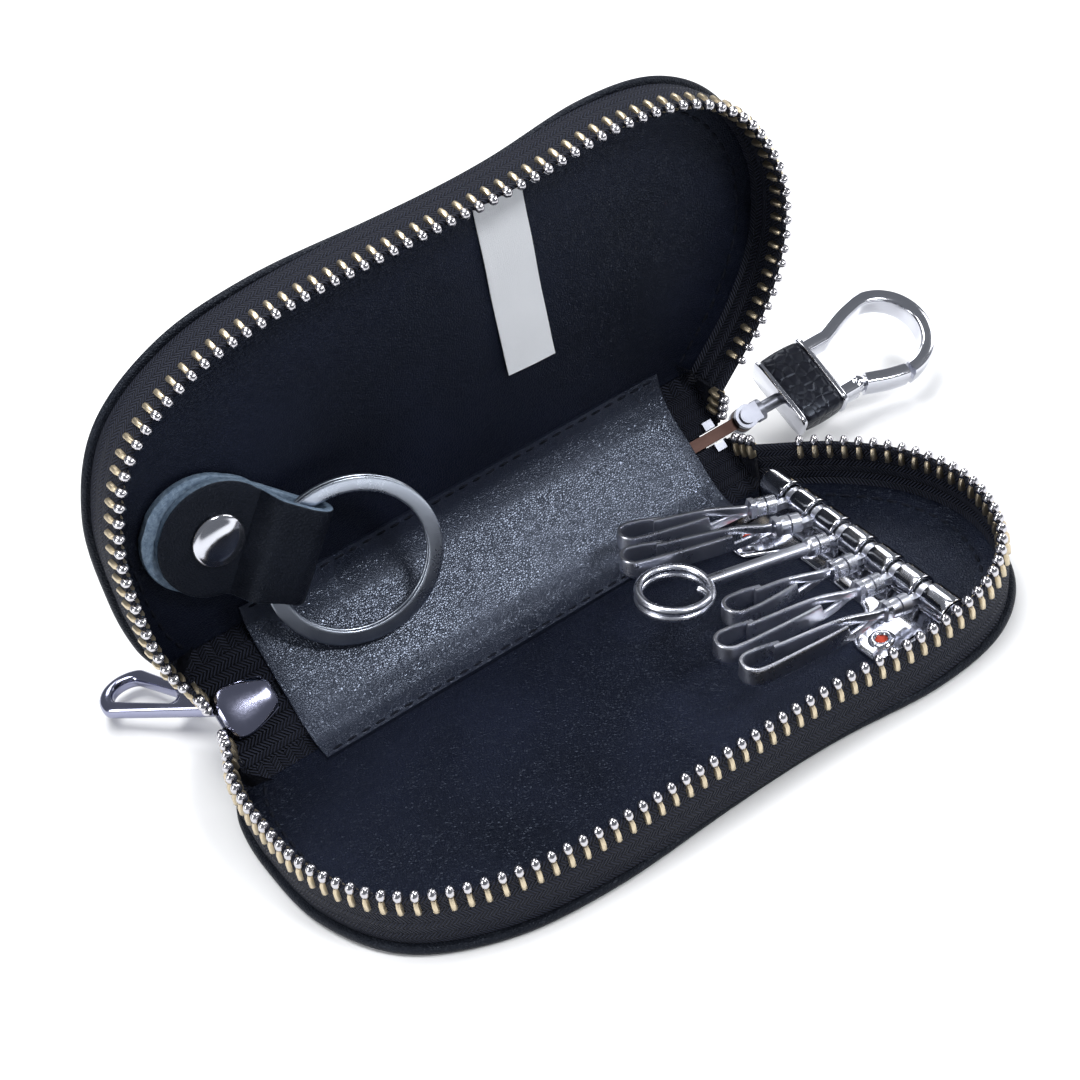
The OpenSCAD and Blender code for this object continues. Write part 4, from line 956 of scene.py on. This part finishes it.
def bend_chain(i, rings):
    """The last three teeth, on the upper edge of a bending stretch: each stands square to that edge, in the
    sheet, with its level 10.525 on the edge."""
    t = (np.arange(3)[:, None] + 0.5) / 3.75
    half, spine = bend_edges(i, 2)
    low, top = half[0] * (1 - t) + spine[0] * t, half[1] * (1 - t) + spine[1] * t
    heading = np.broadcast_to(unit(spine[1] - half[1]), top.shape)
    up = unit(top - low)
    up = unit(up - np.sum(up * heading, -1, keepdims=True) * heading)
    return copies(rings, top - up * 10.525, heading, np.cross(up, heading), up)


for name, rings, finish, stands_for in (("teeth_bend", head_rings, TEETH, ("zip_teeth_bends",)),
                                        ("tooth_legs_bend", leg_rings, LEGS, ())):
    ends = [bend_chain(i, rings) for i in (0, 1)]
    both_halves(name + "_{}", ends, EDGES, finish, (stands_for, ()))

# %% [markdown]
# ## Slider and pull
# The slider has two shield-shaped plates joined by a wedge, with a bail on top for the pull. A plate is a
# section carried along its length: the half width follows a smooth profile and the edges are rounded.


# %% Slider
SLIDER_X = -0.91 * CASE_L / 2
PLATE_GAP = TAPE / 2 + 0.8 + 0.25


def plate_rings(length, widths, thick, crown, n=26, m=20):
    """Rings across a plate, along x: half width from a smooth curve through widths, thickness raised by crown
    to a ridge down the middle, and both shrunk at the two ends as sqrt(1 - x^9)."""
    t = np.linspace(-0.985, 0.985, n)
    half = np.interp((t + 1) / 2, *smooth_curve(widths, 6).T)
    rings = []
    for x, w, end in zip(t, half, np.sqrt(1 - np.abs(t) ** 9)):
        s = bar(w * (0.35 + 0.65 * end), thick / 2 * (0.45 + 0.55 * end), m, 4.5)
        s[:, 1] += np.where(s[:, 1] > 0, crown * (1 - np.abs(s[:, 0]) / w) * end, 0)
        rings.append(at_x((x + 1) / 2 * length, s))
    return np.array(rings)


# Share of the length and half width, for the plates; x from the slider's nose and half width, for their lips.
SHIELD = [(0.0, 3.0), (0.12, 4.0), (0.35, 4.2), (0.7, 3.4), (0.95, 2.6), (1.0, 2.2)]
LIP = smooth_curve([(1.0, 3.7), (3.2, 3.95), (6.2, 3.3), (8.4, 2.6)], 5)
PLATE_L, PLATE_T = 9.0, 1.0
p = plate_rings(PLATE_L, SHIELD, PLATE_T, 0.75)
shell = []
for side in (-1, 1):
    shell.append(np.stack([SLIDER_X + p[..., 0], CHAIN_Y + side * (PLATE_GAP + PLATE_T / 2 + p[..., 2]),
                           MID + p[..., 1]], -1))
    for s in (-1, 1):
        lip = np.array([(SLIDER_X + x, CHAIN_Y + side * (PLATE_GAP - 0.15), MID + s * w) for x, w in LIP])
        shell.append(carried(lip, bar(0.28, 0.5, 10, 3), (0, 0, 1)))
# The wedge between the plates is a kite: x from its middle, and height.
kite = np.array([(-1.3, 0), (0, 0.92), (2.6, 0), (0, -0.92)])
wedge = np.stack([np.c_[SLIDER_X + 1.62 + kite[:, 0], np.full(4, CHAIN_Y + y), MID + kite[:, 1]]
                  for y in (-PLATE_GAP - 0.4, PLATE_GAP + 0.4)])
BAIL_Y = CHAIN_Y + PLATE_GAP + PLATE_T + 2.45 + 0.525
BAIL_X0, BAIL_L = SLIDER_X + 0.9, 7.02
foot_y = CHAIN_Y + PLATE_GAP + 0.4
# Along the slider from the bail's start, and y, from its first foot over the top to its second.
ARCH = [(0.55, foot_y), (0.5, BAIL_Y - 1.0), (1.3, BAIL_Y), (BAIL_L / 2, BAIL_Y + 0.05), (BAIL_L - 1.3, BAIL_Y),
        (BAIL_L - 0.5, BAIL_Y - 1.0), (BAIL_L - 0.55, foot_y)]
arch = smooth_curve(raised(np.array(ARCH) + [BAIL_X0, 0], MID), 8)
bail = carried(arch, bar(0.8, 0.78, 14, 2.6), (0, 0, 1))
piece("slider_shell", placed(on_spine, shell + [wedge, bail]), "spine", ZIP_CHROME_PAINTED_DARK, ("slider_body",),
      sharp=16)

# %% [markdown]
# The pull is a flat teardrop with a long hole, cast in one with its eye. A closed band follows the teardrop: at
# each angle the section spans from the hole's outline to the outer one, with all edges rounded.


# %% Pull
def teardrop(c1, r1, c2, r2, n=72):
    """Outline round two circles on the y axis and their common tangents, walked by the direction of its normal."""
    a = around(n)
    normal = np.stack([np.sin(a), -np.cos(a)], -1)
    centre = np.where(normal[:, 1] < (r2 - r1) / (c2 - c1), c1, c2)
    radius = np.where(centre == c1, r1, r2)
    p = np.stack([normal[:, 0] * radius, centre + normal[:, 1] * radius], -1)
    return evenly(np.vstack([p, p[:1]]), n + 1)[:-1]


PULL_L, PULL_R, PULL_T = 27.0, 5.4, 2.4
PULL_YAW, PULL_TILT = np.radians(31), np.radians(40)
reach = PULL_L - PULL_R
outer = teardrop(3.2, 1.0, reach, PULL_R)
hole = teardrop(reach - 7.02, 1.62, reach + 0.54, 2.7)
section = bar(1.0, PULL_T / 2, 18, 2.6)
share = (section[:, 0, None] + 1) / 2
band = hole[:, None] * (1 - share) + outer[:, None] * share
pull = np.concatenate([band, np.broadcast_to(section[:, 1], band.shape[:2])[..., None]], -1)
# The eye is a short tube about x. Towards its ends the outside narrows and the bore widens.
eye_x = np.linspace(-0.9, 0.9, 9)
at_end = (np.abs(eye_x) / 0.9) ** 4
eye_wall = np.vstack([np.c_[2.45 - 0.3 * at_end, eye_x], np.c_[1.6 + 0.2 * at_end, eye_x][::-1]])
eye = np.roll(turned_round(eye_wall, 28), 1, -1)


def on_pull(p):
    """From the pull's own frame, its eye on the x axis, to its place on the slider: turned by 31 degrees in its
    own plane, as its loose eye lets it, and then tipped back by 40 degrees about the bail."""
    return on_spine(spun(spun(p, PULL_YAW), PULL_TILT, 1, 2) + [BAIL_X0 + BAIL_L / 2, BAIL_Y, MID])


piece("pull_teardrop", placed(on_pull, [pull, eye], True), "pull", ZIP_CHROME_PAINTED_DARK, ("zip_pull",))

# %% [markdown]
# ## Key row
# The plate is pressed from sheet: a foot with two pointed lobes that is riveted down, and a barrel rolled from
# the same sheet, slotted for the links. The barrel is a stack of knuckles, each a short tube with rolled edges.

# %% Plate and barrel
ROW_X, ROW_Y = 0.69 * CASE_L / 2, -0.105 * CASE_D
ROW_L, SLOTS = 0.815 * CASE_D, 6
PITCH = ROW_L / (SLOTS + 1)
ROD_Z, BARREL = INNER + 2.5 + 0.9, 2.5
# Half of the foot's outline: x from the barrel, and share of the row's length.
side_shape = np.array([(2.0, 0.0), (-5.4, 0.0), (-9.0, 0.012), (-12.6, 0.05), (-13.0, 0.08), (-13.0, 0.17),
                       (-12.4, 0.205), (-9.0, 0.255), (-7.0, 0.29), (-6.5, 0.33)])
foot = np.vstack([side_shape, (side_shape * [1, -1] + [0, 1])[::-1], side_shape[:1]])
foot = evenly(foot, 181)[:-1] * [1, -ROW_L] + [ROW_X, ROW_Y]
inwards = spun(unit(np.roll(foot, -1, 0) - np.roll(foot, 1, 0)), QUARTER)
middle_x = ROW_X - 4.0
# Inset, height over the lining and share of the width, from the underside up and over to the top.
LEVELS = [(0.9, 0, 0.05), (0.9, 0, 0.5), (0.35, 0, 1), (0.08, 0.12, 1), (0.0, 0.35, 1), (0.12, 0.58, 1),
          (0.4, 0.70, 1), (1.1, 0.72, 1), (1.1, 0.74, 0.5), (1.1, 0.74, 0.05)]


def foot_ring(inset, z, share):
    """The foot's outline moved in by inset and shrunk towards its middle line, at a height over the lining."""
    p = foot + inwards * inset
    return np.c_[middle_x + (p[:, 0] - middle_x) * share, p[:, 1], np.full(len(p), INNER + z)]


def rail(half_x, half_z, z, y0, y1):
    """Rings of a bar along y under the rod, with a rounded rectangle for its section."""
    s = slab(-half_x, half_x, half_z, 0.9 * min(half_x, half_z), n=3)
    return np.stack([np.c_[ROW_X + s[:, 0], np.full(len(s), y), z + s[:, 1]] for y in np.linspace(y0, y1, 4)])


def knuckle(y0, y1, wall=0.35):
    """A short tube along y with rolled edges: the profile of a rounded wall, turned about the rod."""
    s = slab(0, y0 - y1, wall, 0.28, n=5)
    return turned_round(np.c_[BARREL - wall + s[:, 1], y0 - s[:, 0]], 40)[..., [0, 2, 1]] + [ROW_X, 0, ROD_Z]


riser = rail(0.7, 0.4, INNER + 1.0, ROW_Y, ROW_Y - ROW_L)
feet = [np.stack([foot_ring(*row) for row in LEVELS]), riser]
piece("row_foot", placed(on_base, feet), "base", NICKEL, ("key_row_plate",))

SLOT_HALF = 0.95
cuts = [ROW_Y, *(ROW_Y - k * PITCH + s * SLOT_HALF for k in range(1, 7) for s in (1, -1)), ROW_Y - ROW_L]
knuckles = placed(on_base, [knuckle(a, b) for a, b in zip(cuts[::2], cuts[1::2])], True)
keel = rail(1.0, 0.2, ROD_Z - BARREL + 0.22, ROW_Y - 0.2, ROW_Y - ROW_L + 0.2)
piece("row_knuckles", knuckles + placed(on_base, [keel]), "base", NICKEL, ("row_barrel",))

# %% [markdown]
# The eyelets are turned rings with a rolled lip round a sunk middle. The lip is a profile turned about its axis.

# %% Eyelets
LIP_PROFILE = np.array([(0.86, -0.3), (0.88, 0.1), (1.04, 0.42), (1.35, 0.52), (1.8, 0.36), (2.05, 0.05),
                        (2.0, -0.02), (1.2, -0.1)])
MIDDLE_PROFILE = np.array([(0.9, -0.32), (0.92, 0.04), (0.6, 0.14), (0.2, 0.16)])
LOBE_X, LOBES = 13 * 0.72, (0.13, 0.87)  # how far out from the rod, and at which shares of the row
spots = [(ROW_X - LOBE_X, ROW_Y - ROW_L * s, INNER + 0.7) for s in LOBES]
piece("row_eyelets", placed(on_base, [turned_round(LIP_PROFILE, 36, at) for at in spots], True), "base", NICKEL,
      ("plate_rivets",))
# The middles are red metal: a painted reddish reflection.
piece("eyelet_middles", placed(on_base, [turned_round(MIDDLE_PROFILE, 24, at) for at in spots]), "base", RED_REFLECTION_PAINT)

# %% [markdown]
# ## Hooks
# Five hooks are strips bent like a safety pin: one leg runs out, turns back at the tip and ends in a lip, and a
# second leg springs against it from inside. Each leg is a rounded strip carried along a path in the hook's plan.

# %% Clip hooks and latches
HOOK_YAWS = (13, 13, 6, 1, 1, 1)
REACHES = 33.5 * np.array([0.9, 1, 1.07, 0.82, 1, 1])
LIFT_A = np.radians(10)
CLIP_W, STRIP_H, STRIP_T = PITCH - 1.3, 3.0, 0.7
HALF = (CLIP_W - STRIP_T) / 2
CROSS = (8.3, 15.2)  # the stretch of u where the two legs cross
TAIL, OVERLAP = 5.5, 1.6  # how far the turned-back end reaches from the tip's middle, and how far the legs overlap


def at_hook(k, p):
    """From hook k's frame, u out from the rod, v sideways and w up, to the row's frame."""
    p = spun(spun(p, np.radians(180 - HOOK_YAWS[k - 1])), LIFT_A, 2, 0)
    return on_base(p + [ROW_X, ROW_Y - k * PITCH, ROD_Z])


def strip_rings(plan, low, high):
    """A rounded strip on edge along a path in the plan, with its low and high edge at each point of the path."""
    path = raised(plan, 0)
    normal = spun(unit(np.gradient(path, axis=0)), QUARTER)
    s = bar(STRIP_T / 2, 1.0, 18, 5.0)
    z = ((low + high) / 2)[:, None] + ((high - low) / 2)[:, None] * s[:, 1]
    return path[:, None] + s[:, :1] * normal[:, None] + z[..., None] * UP


def stem(root):
    """The swivel stem: a neck in the link's collar and a round shoulder up to the root, turned about u."""
    profile = [(0.70, 4.2), (0.80, 4.3), (0.80, 5.45), (1.42, 5.5), (1.55, 5.6), (1.55, 6.4), (1.45, 7.0),
               (1.0, root)]
    return np.roll(turned_round(np.array(profile), 24), 1, -1)


def clip_shapes(reach):
    """The hooked leg, which passes low where the legs cross, its root block and its stem."""
    tip = reach - CLIP_W / 2
    a = np.linspace(0, np.pi, 25)
    start = smooth_curve([(7.3, -0.77), (9.0, -0.62), (15.5, 1.15), (tip - 3.4, HALF * 0.96),
                          (tip - 0.6, HALF)], 10)
    loop = np.stack([tip + HALF * np.sin(a), HALF * np.cos(a)], -1)
    tail = [(tip - 2.5, -HALF), (tip - TAIL, -HALF + 0.05)]
    plan = evenly(np.vstack([start[start[:, 0] < tip - 0.5], loop, tail]), 90)
    u, v = plan.T
    crossing = (u > CROSS[0]) & (u < CROSS[1]) & (v < HALF * 0.75)
    narrowing = 0.5 * np.clip((np.arange(90) - 80) / 10, 0, 1)
    leg = strip_rings(plan, narrowing - STRIP_H / 2, np.where(crossing, -0.1, STRIP_H / 2) - narrowing)
    root = np.stack([at_x(u, bar(1.12, STRIP_H / 2, 18, 5)) for u in (7.1, 7.15, 7.9, 8.0)])
    return [leg, root, stem(7.3)]


def latch_shape(reach):
    """The sprung leg: from the root across the other leg, passing high, then straight to its end under the lip."""
    end = reach - CLIP_W / 2 - TAIL + OVERLAP
    inner = STRIP_T - HALF
    plan = evenly(smooth_curve([(8.8, 0.77), (10.2, 0.62), (15.5, -0.75), (end - 1.5, inner + 0.36),
                                (end, inner + 0.3)], 10), 50)
    return strip_rings(plan, np.where(plan[:, 0] < CROSS[1], 0.1, -STRIP_H / 2), np.full(50, STRIP_H / 2))


for k in (1, 2, 4, 5, 6):
    here = lambda p: at_hook(k, p)
    piece(f"clip_{k}", placed(here, clip_shapes(REACHES[k - 1])), f"hook_{k}", HOOK_NICKEL,
          (f"clip_hook_{k}",), sharp=40)
    piece(f"spring_leg_{k}", placed(here, [latch_shape(REACHES[k - 1])]), f"latch_{k}", HOOK_NICKEL,
          (f"latch_{k}",), sharp=40)

# %% [markdown]
# The third hook is a ring of doubled wire for a car key: one wire wound twice round a circle, its ends run into
# the stem. The two turns lie side by side, so the wire climbs by one thickness as it goes round.

# %% Round hook
ROUND_R, WIRE = PITCH * 0.985, 0.65
centre_u = REACHES[2] - ROUND_R + 0.5
walk = np.linspace(0, 4 * np.pi, 129)
# The wire's middle line circles at c, climbs from one turn to the other, and ends drawn in to the stem.
c = ROUND_R - WIRE - 1.9 * np.clip((walk - 4 * np.pi + 0.45) / 0.45, 0, 1) ** 1.5
climb = np.interp(walk, [0, 5.2, 7.4, 4 * np.pi], [-0.64, -0.64, 0.64, 0.64])
a = walk + np.pi - 0.5
turns = np.stack([centre_u + c * np.cos(a), c * np.sin(a), climb], -1)
neck = np.linspace((7.2, 0, 0), (centre_u - c[0] + 0.1, 0, 0), 12)
wire = [carried(turns, bar(WIRE, WIRE, 14, 2), (0, 0, 1)), carried(neck, bar(0.95, 1.0, 16, 2.4), (0, 0, 1)),
        stem(7.4)]
piece("round_wire", placed(lambda p: at_hook(3, p), wire), "hook_3", HOOK_NICKEL, ("round_hook",))

# %% [markdown]
# ## Strap, stud and ring
# The strap is one strip folded round the ring and pressed together by the stud. Its path runs out under the
# ring, round the loop and back over. The width follows a half circle at the stud's end. The cut edges are raw,
# so each point carries a mark of how near it is to an edge.

# %% Strap
RING_R, RING_W, RING_T, TILT = 13.99, 2.4, 1.6, np.radians(12)
STUD = np.array([-0.73 * CASE_L / 2, -2.1 - RING_R - 3.9, INNER])
STRAP_A = np.radians(36)
# Its height off the lining, thickness, room inside the loop, width at the head and at the fold, the fold's end,
# and how far the loop's underside rises.
LIFT, STRAP_T, LOOP_IN, STRAP_W, FOLD_W, LOOP_END, RISE = 0.35, 1.3, 2.8, 19.0, 15.58, 15.9, 1.85


def at_strap(p):
    """From the strap's frame, u along it, v across and w up from the lining, to the lid."""
    return on_lid(spun(p, STRAP_A) + STUD)


z0, h = LIFT + STRAP_T / 2, STRAP_T / 2
rc = LOOP_IN / 2
zc = LIFT + STRAP_T + RISE + rc
loop_c = LOOP_END - rc - STRAP_T
slope = np.radians(9.6)
a = np.linspace(-QUARTER, QUARTER + slope, 19)
fold_round = np.stack([loop_c + (rc + h) * np.cos(a), zc + (rc + h) * np.sin(a)], -1)
under = smooth_curve([(-11.3, z0), (-6, z0), (0, z0), (4.4, z0 + 0.04), (8, z0 + 0.93), (11.4, z0 + 1.8),
                      (loop_c - 0.3, z0 + RISE)], 6)
top_z = z0 + STRAP_T + 0.1
over_it = smooth_curve([(12.3, zc + rc + h - 0.12), (9.5, 6.32), (7.2, 5.85), (6.2, 4.7), (5.1, 2.85), (4.2, top_z),
                        (0, top_z), (-5, top_z), (-9.3, top_z)], 6)
profile = evenly(np.vstack([under, fold_round, over_it]), 130)
u = profile[:, 0]
path = np.c_[u, np.zeros(130), profile[:, 1]]
lower_layer = np.arange(130) < np.argmax(u)
head = lambda u: np.sqrt(np.clip((STRAP_W / 2) ** 2 - u**2, 1.2, None)) * (u < 4)
taper = np.interp(u, [0, 11.6], [0.48 * STRAP_W, FOLD_W / 2])
half_w = np.maximum(head(u), np.where(u > -1, taper, 0))
half_w = np.where(lower_layer, np.maximum(half_w, head(u + 2)), half_w)
sections = np.stack([slab(-w, w, h, 0.3, n=14) for w in half_w])
# A point is raw leather where it is near an edge of the section, and all over the side that lies inside the fold.
near_edge = np.clip((np.abs(sections[..., 0]) - (half_w[:, None] - 0.32)) / 0.2, 0, 1)
thin = np.abs(sections[..., 1]) < h - 0.1
marks = np.maximum(near_edge * thin, sections[..., 1] > h - 0.1)
ends = [0, 1, -2, -1]
marks[ends] = np.maximum(marks[ends], thin[ends] * 0.9)
piece("strap_folded", placed(at_strap, [carried(path, sections, (0, 1, 0))]), "strap", STRAP,
      ("ring_strap",), marks=np.r_[marks.ravel(), 1, 1])

# %% [markdown]
# The stud's cap is a low dome with a rolled edge, turned from a short profile. The key ring is a flat bright
# ring with rounded faces and a fine split along its edge, as two coils of a spring lie on each other.

# %% Stud cap and key ring
CAP_Z, CAP_R = LIFT + 2 * STRAP_T + 0.1, 4.3
cap_profile = np.array([(0.3, 1.5), (1.2, 1.47), (2.2, 1.36), (3.2, 1.12), (4.0, 0.82), (4.45, 0.66), (4.72, 0.46),
                        (4.8, 0.25), (4.7, 0.06), (4.4, 0.0), (2.0, 0.0), (0.3, 0.0)])
cap = turned_round(smooth_curve(cap_profile, 3) * [CAP_R / 4.8, 1], 56, (0, 0, CAP_Z))
piece("stud_dome", placed(at_strap, [cap]), "strap", NICKEL, ("stud_cap",))

ring_u = LOOP_END - STRAP_T - 0.35 + np.sqrt((RING_R - RING_W) ** 2 - (FOLD_W / 2) ** 2) - 1.35
pivot = np.array([ring_u - RING_R + 0.24 * RING_R, 0, zc - 0.15])


def on_ring(p):
    """From the ring's own frame to the strap's, tipped by 12 degrees about a line across the loop."""
    return at_strap(spun(p + [ring_u - pivot[0], 0, 0], TILT, 0, 2) + pivot)


coil = bar(RING_W / 2, RING_T / 4 - 0.015, 22, 4.5)
coils = [turned_round(coil + [RING_R - RING_W / 2, s * RING_T / 4], 120) for s in (-1, 1)]
piece("ring_coils", placed(on_ring, coils, True), "ring", STEEL, ("key_ring",))

# %% [markdown]
# ## Label
# A bare white ribbon is sewn in under the lining's edge at one end. It lies almost flat, lifts at its free end,
# and bends a little across. It is a thin slab carried along its length.

# %% Label
LABEL_L, LABEL_HALF = 32, 4.3
LABEL_AT = np.array([0.229 * CASE_L / 2, 2 + LABEL_L - 0.98 * CASE_D, INNER])
s = np.linspace(0, LABEL_L, 40)
lift = 0.2 + 0.16 * np.sin(s / 4.2) ** 2 + 0.5 * np.clip((10 - s) / 10, 0, 1) ** 2
section = slab(-LABEL_HALF, LABEL_HALF, 0.11, 0.1, n=10)
ribbon = carried(np.c_[0 * s, -s, lift], section, (1, 0, 0))
ribbon[..., 2] += 0.05 * np.cos(ribbon[..., 0] / LABEL_HALF * np.pi)
uv = np.vstack([np.c_[np.repeat(s, len(section)), np.tile(section[:, 0], 40)], [(0, 0), (LABEL_L, 0)]])
piece("label_ribbon", placed(on_lid, [spun(ribbon, np.radians(3)) + LABEL_AT]), "lid", LABEL,
      ("blank_label",), uv=uv)

# %% [markdown]
# ## Snap hook
# A swivel snap hook hangs on a lug at the spine's end. Its block has a frame at both ends and a pebbled leather
# band between. The bow is a rounded bar bent round, and the gate closes its open side.

# %% Snap hook frames
LUG_Y = -LEATHER / 2 - 0.5
PIN_X = 0.585 * CASE_L / 2 - 2 + 8 + 4.6
POST_X = PIN_X + 2 + 0.5
BLOCK_X = POST_X + 4.4
BLOCK_TURN = np.radians(74)
BLOCK_W, BLOCK_L, BLOCK_T, FRAME_W = 14.0, 9.5, 5.2, 1.0
BOW_R, BOW_W, BOW_T, BOW_L = 8.8, 2.5, 4.4, 21.5
LEG_V, BOW_U, GATE_U = BLOCK_W * 0.36, BLOCK_L + BOW_L - BOW_R, BLOCK_L + 3.2
EAR = BOW_W * 0.43
GATE_END = BOW_U - BOW_W * 0.3


def at_block(p):
    """From the block's frame, x along the hook, y across and z through it, to the row's frame."""
    return on_spine(spun(p, BLOCK_TURN, 1, 2) + [BLOCK_X, LUG_Y, MID])


def block_rings(x0, x1, a, b, r_end, k=6.0, n=44, m=9, belly=0.0):
    """A rounded box along x: superellipse sections, moved in by a quarter round of radius r_end at both ends and
    out by belly in the middle."""
    half = (x1 - x0) / 2
    t = np.linspace(-1, 1, m)
    into_end = np.clip((np.abs(t) - (1 - r_end / half)) / (r_end / half), 0, 1)
    out = belly * (1 - t**2) - r_end * (1 - np.sqrt(1 - into_end**2))
    return np.stack([at_x((x0 + x1) / 2 + ti * half, bar(a + o, b + o, n, k)) for ti, o in zip(t, out)])


frames = [block_rings(x, x + FRAME_W, BLOCK_W / 2, BLOCK_T / 2, 0.3) for x in (0, BLOCK_L - FRAME_W)]
core = block_rings(0.6, BLOCK_L - 0.6, BLOCK_W / 2 - 0.8, BLOCK_T / 2 - 0.8, 0.1)
piece("block_frames", placed(at_block, frames + [core]), "snap", NICKEL, ("snap_block",))
band = block_rings(FRAME_W - 0.05, BLOCK_L - FRAME_W + 0.05, BLOCK_W / 2 - 0.22, BLOCK_T / 2 - 0.2, 0.15, k=5, m=15,
                   belly=0.22)
piece("block_band_leather", placed(at_block, [band]), "snap", PEBBLE, ("block_band",))

# %% [markdown]
# The bow's middle line runs up one leg, round a half circle and down to the gate's tip. The section stays a
# rounded bar. The gate is the missing stretch of the other leg, narrowed to a tongue at its pin.

# %% Bow and gate
bow_mid = BOW_R - BOW_W / 2
BOW_SECTION = bar(BOW_W / 2, BOW_T / 2, 26, 5.0)


def leg_line(s):
    """The middle line of a leg, from the block to where the bow's half circle starts, s = 1 or -1 for its side."""
    return np.array([(BLOCK_L - 0.3, s * LEG_V), (GATE_U, s * LEG_V), (GATE_U + EAR, s * (LEG_V + 0.05)),
                     (BOW_U - BOW_R * 0.45, s * (BOW_R * 0.9 - BOW_W / 2)), (BOW_U, s * bow_mid)])


def bow_stretch(line, n):
    """The bow's section carried along n points of a line in its plane, with its width square to the line."""
    path = evenly(raised(line, 0), n)
    return carried(path, BOW_SECTION, np.cross(unit(np.gradient(path, axis=0)), UP))


def disc(r, low, high, edge=0.15, n=36):
    """A round plate about the gate's pin, its edges eased."""
    profile = [(r * 0.05, low), (r - edge, low), (r, low + edge), (r, high - edge), (r - edge, high),
               (r * 0.05, high)]
    return turned_round(np.array(profile), n, (GATE_U, -LEG_V, 0))


a = np.linspace(0, np.pi, 41)
arc = np.stack([BOW_U + bow_mid * np.sin(a), bow_mid * np.cos(a)], -1)
bow = bow_stretch(np.vstack([smooth_curve(leg_line(1), 8), arc[1:], [(GATE_END + 0.8, -bow_mid)]]), 96)
foot_path = np.linspace((BLOCK_L - 0.3, -LEG_V, 0), (GATE_U - EAR * 0.4, -LEG_V, 0), 8)
foot_bar = carried(foot_path, BOW_SECTION, (0, 1, 0))
ears = [disc(EAR, -BOW_T / 2, -BOW_T / 4 - 0.175), disc(EAR, BOW_T / 4 + 0.175, BOW_T / 2)]
pin = disc(0.55, -BOW_T / 2 - 0.12, BOW_T / 2 + 0.12, 0.1, 20)
piece("bow_bar", placed(at_block, [bow, foot_bar, *ears, pin]), "snap", NICKEL, ("snap_bow",))

right = smooth_curve(leg_line(-1), 12)
right = right[(right[:, 0] > GATE_U + EAR + 0.35) & (right[:, 0] < GATE_END)]
gate = bow_stretch(np.vstack([right, [(GATE_END, right[-1, 1] - 0.02)]]), 40)
tongue_section = bar(EAR * 0.96, BOW_T / 4 - 0.05, 18, 4) - [LEG_V, 0]
tongue = np.stack([at_x(GATE_U + x, tongue_section) for x in (0, 1.2, 2.6)])
knob = disc(EAR, -BOW_T / 4 + 0.02, BOW_T / 4 - 0.02)
piece("gate_bar", placed(at_block, [gate, tongue, knob]), "gate", NICKEL, ("snap_gate",))

# %% [markdown]
# ## CAD pieces that stay
# Small turned and flat metal parts already have their true shape in the CAD model, so they stay and only get
# their finish: links, rod, post, lug, yoke, pin and stops.

# %% Finishes for the CAD pieces
BY_SLOT = {"chrome": HOOK_NICKEL, "copper": RED_REFLECTION_PAINT, "teeth": TEETH, "steel": STEEL, "board": BOARD_GREY,
           "leather": OUTER, "lining": INSIDE, "tape": TAPE_CLOTH, "label": LABEL, "strap_leather": STRAP}
# Painted shade: the yoke, its pin and the stops take a darkened nickel, and the lug a darkened copper.
BY_NODE = {"swivel_yoke": YOKE_PAINTED_DARK, "yoke_pin": YOKE_PAINTED_DARK, "end_lug": LUG_PAINTED_DARK, "zip_stop": YOKE_PAINTED_DARK}
slots = {row["node"]: row["material_slot"] for row in frame["record"]["subparts"]}
for node, obj in frame["nodes"].items():
    obj.data.materials.clear()
    obj.data.materials.append(BY_NODE.get(node, BY_SLOT[slots[node]]))
print("finished CAD nodes:", len(slots))

# %% [markdown]
# ## Sizes
# The dressed model should fill the same box as the CAD model. Both boxes are the cell's result, side by side.

# %% The sizes of both boxes
plain = lambda box: [[float(v) for v in corner] for corner in box]
{"cad": plain(cad_box), "visual": plain(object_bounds())}
